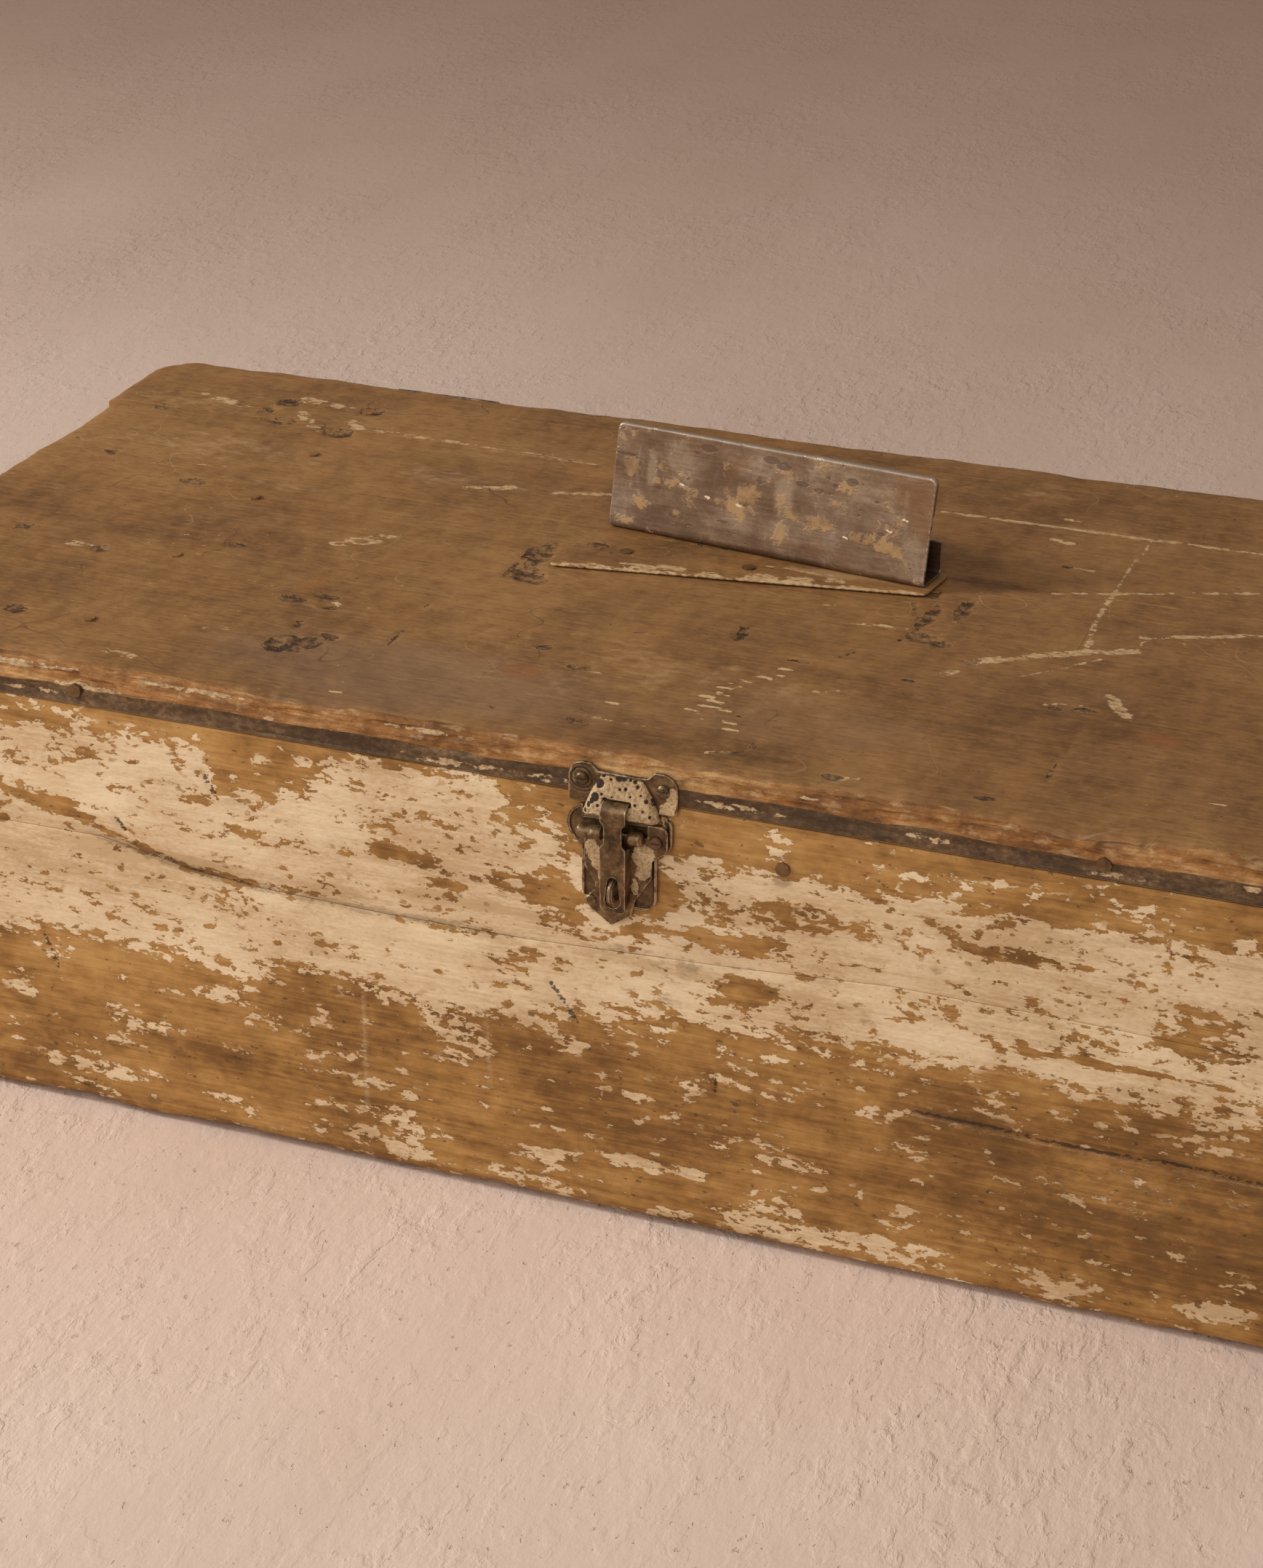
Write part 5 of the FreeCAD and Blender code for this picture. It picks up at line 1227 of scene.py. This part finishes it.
leaf = forge("catch_front_plate", 0.26)
x, y, z = points_of(leaf).T
dent(leaf, 0.12, 260, 3.0)
finish_metal(
    leaf, "catch_front_plate", "carcass", "catch_painted", painted_metal,
    paint=most_of(x, z, LEAF_PAINT) * (y < LEAF_FACE) * (z < LEAF_TOP),
    rust=most_of(x, z, LEAF_RUST) + 0.4 * spots(x, z, LEAF_HOLES),
)


# %% The bare pieces of the catch
LOBE_CORNERS = [
    ((-20.1, 146.6), (1, 1), 7.6), ((-20.1, 162), (1, -1), 7.6), ((17.5, 146.6), (-1, 1), 6),
    ((17.5, 162), (-1, -1), 4), ((12.2, 125.4), (-1, 1), 4.6), ((-14.8, 125.4), (1, 1), 3.6),
]


def bare_metal(node, body, size, seed, rust=(), shine=1.0):
    """A bare piece of the catch with small dents."""
    piece = forge(node, size)
    for corner, inward, radius in LOBE_CORNERS if node == "catch_base_plate" else ():
        round_corner(piece, "XZ", corner, inward, radius)
    x, _, z = points_of(piece).T
    dent(piece, 0.1, 240, seed)
    finish_metal(piece, node, body, "catch_iron", catch_metal, shine, rust=most_of(x, z, rust))


bare_metal("hasp_strip", "hasp", 0.22, 5.0, [(2.6, 140, 1.6, 12, 0.8), (-1, 128, 5, 3, 0.7)])
bare_metal("catch_base_plate", "carcass", 0.3, 6.0, [(12, 130, 6, 8, 0.5)])
bare_metal("catch_staple", "carcass", 0.16, 7.0, [(-1.2, 131, 3, 3.4, 1.3)])
bare_metal("catch_rivet", "carcass", 0.16, 8.0)
bare_metal("catch_screw", "carcass", 0.18, 9.0, [(12.1, 152, 4, 4, 0.9)], shine=0.2)
bare_metal("keeper_screws", "lid", 0.18, 10.0, shine=0.4)

# %% [markdown]
# ## The steel plate
# The plate is bent from one strip: it leans back, its top is folded over, and its foot turns up behind.
# The sheet is brushed grey-brown, worn bright along its ridges, with a painted highlight along the fold and
# the left edge and painted shade on its faces turned from the front. Ochre paint clings to it in patches,
# and a few dark pits and pale chips lie across it.

# %% The finish of the steel plate
STEEL = ((110, 84, 62), (132, 104, 80), (156, 131, 106))


def bent_steel():
    """Brushed steel with ochre patches, dark stains, pale chips, worn ridges, painted highlight and shade."""
    f = Finish("bent_steel")
    broad = f.noise((38, 38, 60), 6)
    cloudy = f.noise(95, 6, 0.65, warp=0.3)
    brushed = f.noise((70, 70, 900))
    grit = f.noise(700)
    tone = broad * 0.45 + cloudy * 0.3 + brushed * 0.15 + grit * 0.1 + f.mark("tone") * 0.1
    runs = f.noise((170, 170, 34), warp=0.3).rise(0.58, 0.7)
    ochre = f.mark("ochre", (cloudy, 4.2), (grit, 1)).rise(0.4, 0.72)
    stain = f.mark("stain", (cloudy, 1.8), (grit, 0.6)).rise(0.42, 0.58)
    small = f.noise((260, 260, 420), 3, 0.5).rise(0.67, 0.71)
    rusty = f.noise((52, 52, 40), 6, 0.68, warp=0.4).rise(0.52, 0.66)
    chips = f.mark("chip", (grit, 1.4)).rise(0.42, 0.56)
    rub = f.mark("rub", (cloudy, 0.6)).rise(0.3, 1.1)
    nook = f.mark("nook", (cloudy, 0.8)).rise(0.2, 0.8)
    colour = f.coats(
        f.ramp(tone, (0.42, 0.51, 0.6), STEEL),
        (runs * 0.22, (186, 168, 150)),
        (ochre * 0.8, f.ramp(cloudy, (0.4, 0.6), [(120, 88, 52), (170, 130, 78)])),
        (stain * 0.75, (92, 66, 46)), (small * 0.5, (104, 78, 56)), (rusty * 0.4, (142, 98, 58)),
        (chips, (222, 196, 158)), (rub * 0.6, (196, 180, 164)), (nook * 0.6, (66, 50, 38)),
    )
    painted = ochre.most(chips)
    rough = 0.42 + (brushed - 0.5) * 0.3 + painted * 0.3 - rub * 0.12
    relief = cloudy * 0.18 + brushed * 0.05 + painted * 0.1 - stain * 0.08 - small * 0.08
    return f.shade(colour, rough, relief, 0.75 - painted * 0.7 - stain * 0.35)


steel_finish = bent_steel()
print("steel finish", len(steel_finish.node_tree.nodes), "nodes")

# %% The steel plate
PLATE_LEFT = -77.5
PLATE_FOOT = 182.3
PLATE_TALL = 40.4
PLATE_OCHRE = [
    (8, 24.5, 6, 5.5, 1), (22, 26.5, 4, 4, 0.7), (22, 21, 10, 3, 0.5), (36, 19, 10, 3, 0.5),
    (58, 22, 8, 6, 0.7), (50, 17, 16, 3, 0.55), (75, 19, 10, 4, 0.7), (88, 17, 12, 3.4, 0.7),
    (104, 14, 8, 4, 0.75), (117, 12, 10, 3.4, 0.7), (100, 31, 4, 4, 0.5), (14, 33, 8, 3, 0.5),
    (29, 11, 3, 2, 0.6), (96, 24, 12, 4, 0.4), (70, 33, 10, 3, 0.4), (118, 20, 8, 6, 0.35),
]
PLATE_STAINS = [
    (40, 36, 7, 2.6, 0.8), (66, 36, 5, 2.2, 0.9), (71, 34.5, 5, 2, 0.9), (99, 33.6, 3.4, 2, 1.1),
    (79, 29.5, 4, 1.6, 1), (86, 28.5, 3, 1.2, 0.9), (103, 24, 2, 1.4, 0.8), (109, 28, 2, 1.2, 0.7),
    (92, 31, 2, 1.6, 0.6), (6, 28.6, 8, 1.2, 0.7), (112, 17, 2.4, 1.2, 0.6), (48, 10.5, 4, 1, 0.9),
    (62, 28, 4, 3, 0.5), (122, 25, 3, 2, 0.4),
]
PLATE_CHIPS = [(30, 21.2), (41, 18.4), (54, 17.6), (115, 18.6), (121, 23.6), (98, 13.4)]
PLATE_TONES = [
    (17, 24, 3, 9, 1.6), (72, 24, 5, 12, 1.5), (60, 32, 16, 6, 0.7), (110, 30, 18, 7, 0.6),
    (66, 4, 70, 7, -0.5), (30, 30, 12, 8, 0.6), (125, 14, 8, 12, 0.5), (46, 28, 8, 8, -0.5),
    (112, 22, 16, 8, 0.6), (20, 8, 20, 6, -0.6),
]

plate = forge("lift_plate", 0.5)
dent(plate, 0.25, 22, 11.0)
x, y, z = points_of(plate).T
across, up = x - PLATE_LEFT, z - PLATE_FOOT
facing = read(plate.data.vertices, "normal", 3)[:, 1] < -0.5
chips = sum(stroke(across, up, [(u - 0.9, v + 0.2), (u + 0.9, v - 0.2)], 0.8) for u, v in PLATE_CHIPS)
# A painted highlight along the top fold.
painted_top_highlight = 0.6 * smooth(1 - (PLATE_TALL - up) / 1.8)
bend = bends(plate)
lay(
    plate,
    # Worn ridges, plus a painted highlight along the top fold and the left edge.
    rub=np.clip(bend * 1.3 + painted_top_highlight + 0.3 * smooth(1 - across / 2.5), 0, 1.2),
    # Concave corners, and painted shade on the faces turned from the front, strongest near the foot.
    nook=np.clip(-bend * 2.0, 0, 1.2) + 0.8 * (1 - facing) * smooth(1.4 - up / 24),
    ochre=most_of(across, up, PLATE_OCHRE) * facing,
    stain=most_of(across, up, PLATE_STAINS) * facing,
    tone=dabs(across, up, PLATE_TONES) * facing,
    chip=chips * facing,
)
settle(plate, "lift_plate", "lid", steel_finish, angle=60)

# %% [markdown]
# ## The painted foot sheet
# A thin sheet lies under the steel plate, painted over with the lid. Its front edge has chipped, and the
# cream paint below shows there in a row of crumbs.

# %% The foot sheet
FOOT_FRONT = [(-82.6, -12.2), (57, 8)]
FOOT_MIDDLE = 181.8
FOOT_CRUMBS = [
    (-68, -8, 9, 2.2, 0.8), (-52, -4, 12, 5, 0.9), (-40, -1, 9, 5, 0.85), (-24, -1, 7, 4, 0.6),
    (-6, 3, 10, 6, 0.85), (8, 5, 9, 6, 0.85), (20, 9, 7, 4, 0.6), (30, 6, 12, 3, 0.5), (46, 8, 12, 3, 0.45),
    (-46, 14, 6, 2, 0.35), (10, 14, 30, 2.4, 0.4),
]

foot = forge("lift_plate_foot", 0.55, rounds=2)
x, y, z = points_of(foot).T
front_line = stroke(x, y, FOOT_FRONT, 3.2)
edge_chips = front_line * np.clip(0.6 + ripples(points_of(foot), (90, 90, 1), 14.0, 4), 0, 1)
press(foot, "Z", -0.55 * edge_chips * (z > FOOT_MIDDLE))
lay(
    foot,
    pale=np.clip(0.62 * smooth(1.8 * front_line) + most_of(x, y, FOOT_CRUMBS), 0, 0.95),
    tone=dabs(x, y, [(-62, 2, 26, 12, -0.9), (-30, 14, 60, 8, -0.6), (30, 12, 40, 6, 0.6)]),
    scar=most_of(x, y, [(-74, 10, 9, 5, 0.5), (-10, 25, 60, 3, 0.5)]),
    haze=most_of(x, y, [(20, 15, 34, 5, 0.8), (-30, 4, 50, 6, 0.3)]),
)
settle(foot, "lift_plate_foot", "lid", lid_finish)

# %% [markdown]
# ## The back and the ends
# Nobody sees these sides in the picture, so they follow the front: the same boards, with less paint left and
# the same wear along their edges. The hinges are old sheet steel. Where the foot of the front has worn back,
# its nails are driven as much deeper.


# %% Back and end boards
def dress_side(node, facing, seed, material):
    """A board of the back or an end, with a few cloudy patches of old paint."""
    piece = board(node, facing, cell=2.2, rim=1.2)
    points = points_of(piece)
    height = points[:, 2]
    outward = FACINGS[facing].to_matrix() @ Vector((0, 0, 1))
    way, side = ("X", outward.x) if abs(outward.x) > 0.5 else ("Y", outward.y)
    foot_wear = smooth(1 - height / 8) * (0.7 + 0.8 * ripples(points, (40, 40, 1), seed + 3, 4))
    waves = np.clip(0.3 + 0.4 * ripples(points, (10, 10, 24), seed + 1), 0, 1)
    keep = 1 - read(piece.data.attributes["inside"].data, "value", 1)[:, 0]
    press(piece, way, -side * keep * (waves + np.clip(foot_wear, 0, 2)))
    band = smooth(1.3 - np.abs(height - 118) / 40) * (0.6 + ripples(points, (9, 9, 26), seed))
    left = 1.1 * band - 0.3 * smooth(1 - height / 60) - 0.4
    lay(
        piece,
        paint=np.where(keep > 0.5, left, -1),
        # Darker toward the foot of the board.
        dirt=0.5 * smooth(1 - height / 18),
        tone=1.2 * ripples(points, (5, 5, 9), seed + 6),
    )
    settle(piece, node, "carcass", material)


for node, seed in (("back_board_lower", 31.0), ("back_board_upper", 37.0)):
    dress_side(node, "back", seed, front_finish)
for side, seed in (("left", 41.0), ("right", 47.0)):
    dress_side(f"{side}_end_board", side, seed, side_finish)


# %% The hinges
def dress_hinge(node, body, seed):
    """A hinge leaf with small dents."""
    piece = forge(node, 0.5)
    dent(piece, 0.12, 120, seed)
    finish_metal(piece, node, body, "hinge_steel", hinge_metal)


for side, seed in (("left", 51.0), ("right", 57.0)):
    dress_hinge(f"hinge_lower_leaf_{side}", "carcass", seed)
    dress_hinge(f"hinge_upper_leaf_{side}", "lid", seed + 2)

# %% The nails along the foot of the front
NAIL_SINK = 1.8
FOOT_ROW = 14

nails = copied("front_nails_sunk", "front_nails")
press(nails, "Y", NAIL_SINK * (points_of(nails)[:, 2] < FOOT_ROW))
settle(nails, "front_nails", "carcass", front_finish)

# %% [markdown]
# ## What keeps its own mesh
# All other nails, the pins, battens, cleats and bottom boards are right as they are packed, so they only get
# a finish.

# %% Give the other nodes their finishes
def clean_wood():
    """Planed wood that never had a stain, a little dusty."""
    f = Finish("inner_wood")
    colour, fibres, stains = planed(f)
    knots = f.scales((7, 22, 22), out="Distance").rise(0.05, 0.14)
    dust = f.noise(150, 5, 0.7).rise(0.56, 0.7)
    colour = f.coats(colour, ((1 - knots) * 0.5, (104, 72, 44)), (dust * 0.2, (190, 168, 138)))
    return f.shade(colour, 0.7 + (stains - 0.5) * 0.3, fibres * 0.3 + dust * 0.05, gloss=DRY)


inner_finish = clean_wood()
SLOT_FINISHES = {
    "front_paint": front_finish, "lid_wood": lid_finish, "side_wood": side_finish, "foot_paint": lid_finish,
    "inner_wood": inner_finish, "nail_iron": nail_metal, "hinge_steel": hinge_metal,
    "lift_steel": steel_finish, "catch_painted": painted_metal, "catch_iron": catch_metal,
}
PAINTED_OVER = {
    "front_nails": front_finish, "back_nails": front_finish, "end_nails": side_finish,
    "batten_nails": lid_finish,
}
for part in frame["record"]["subparts"]:
    slots = frame["nodes"][part["node"]].data.materials
    slots.clear()
    slots.append(PAINTED_OVER.get(part["node"], SLOT_FINISHES[part["material_slot"]]))
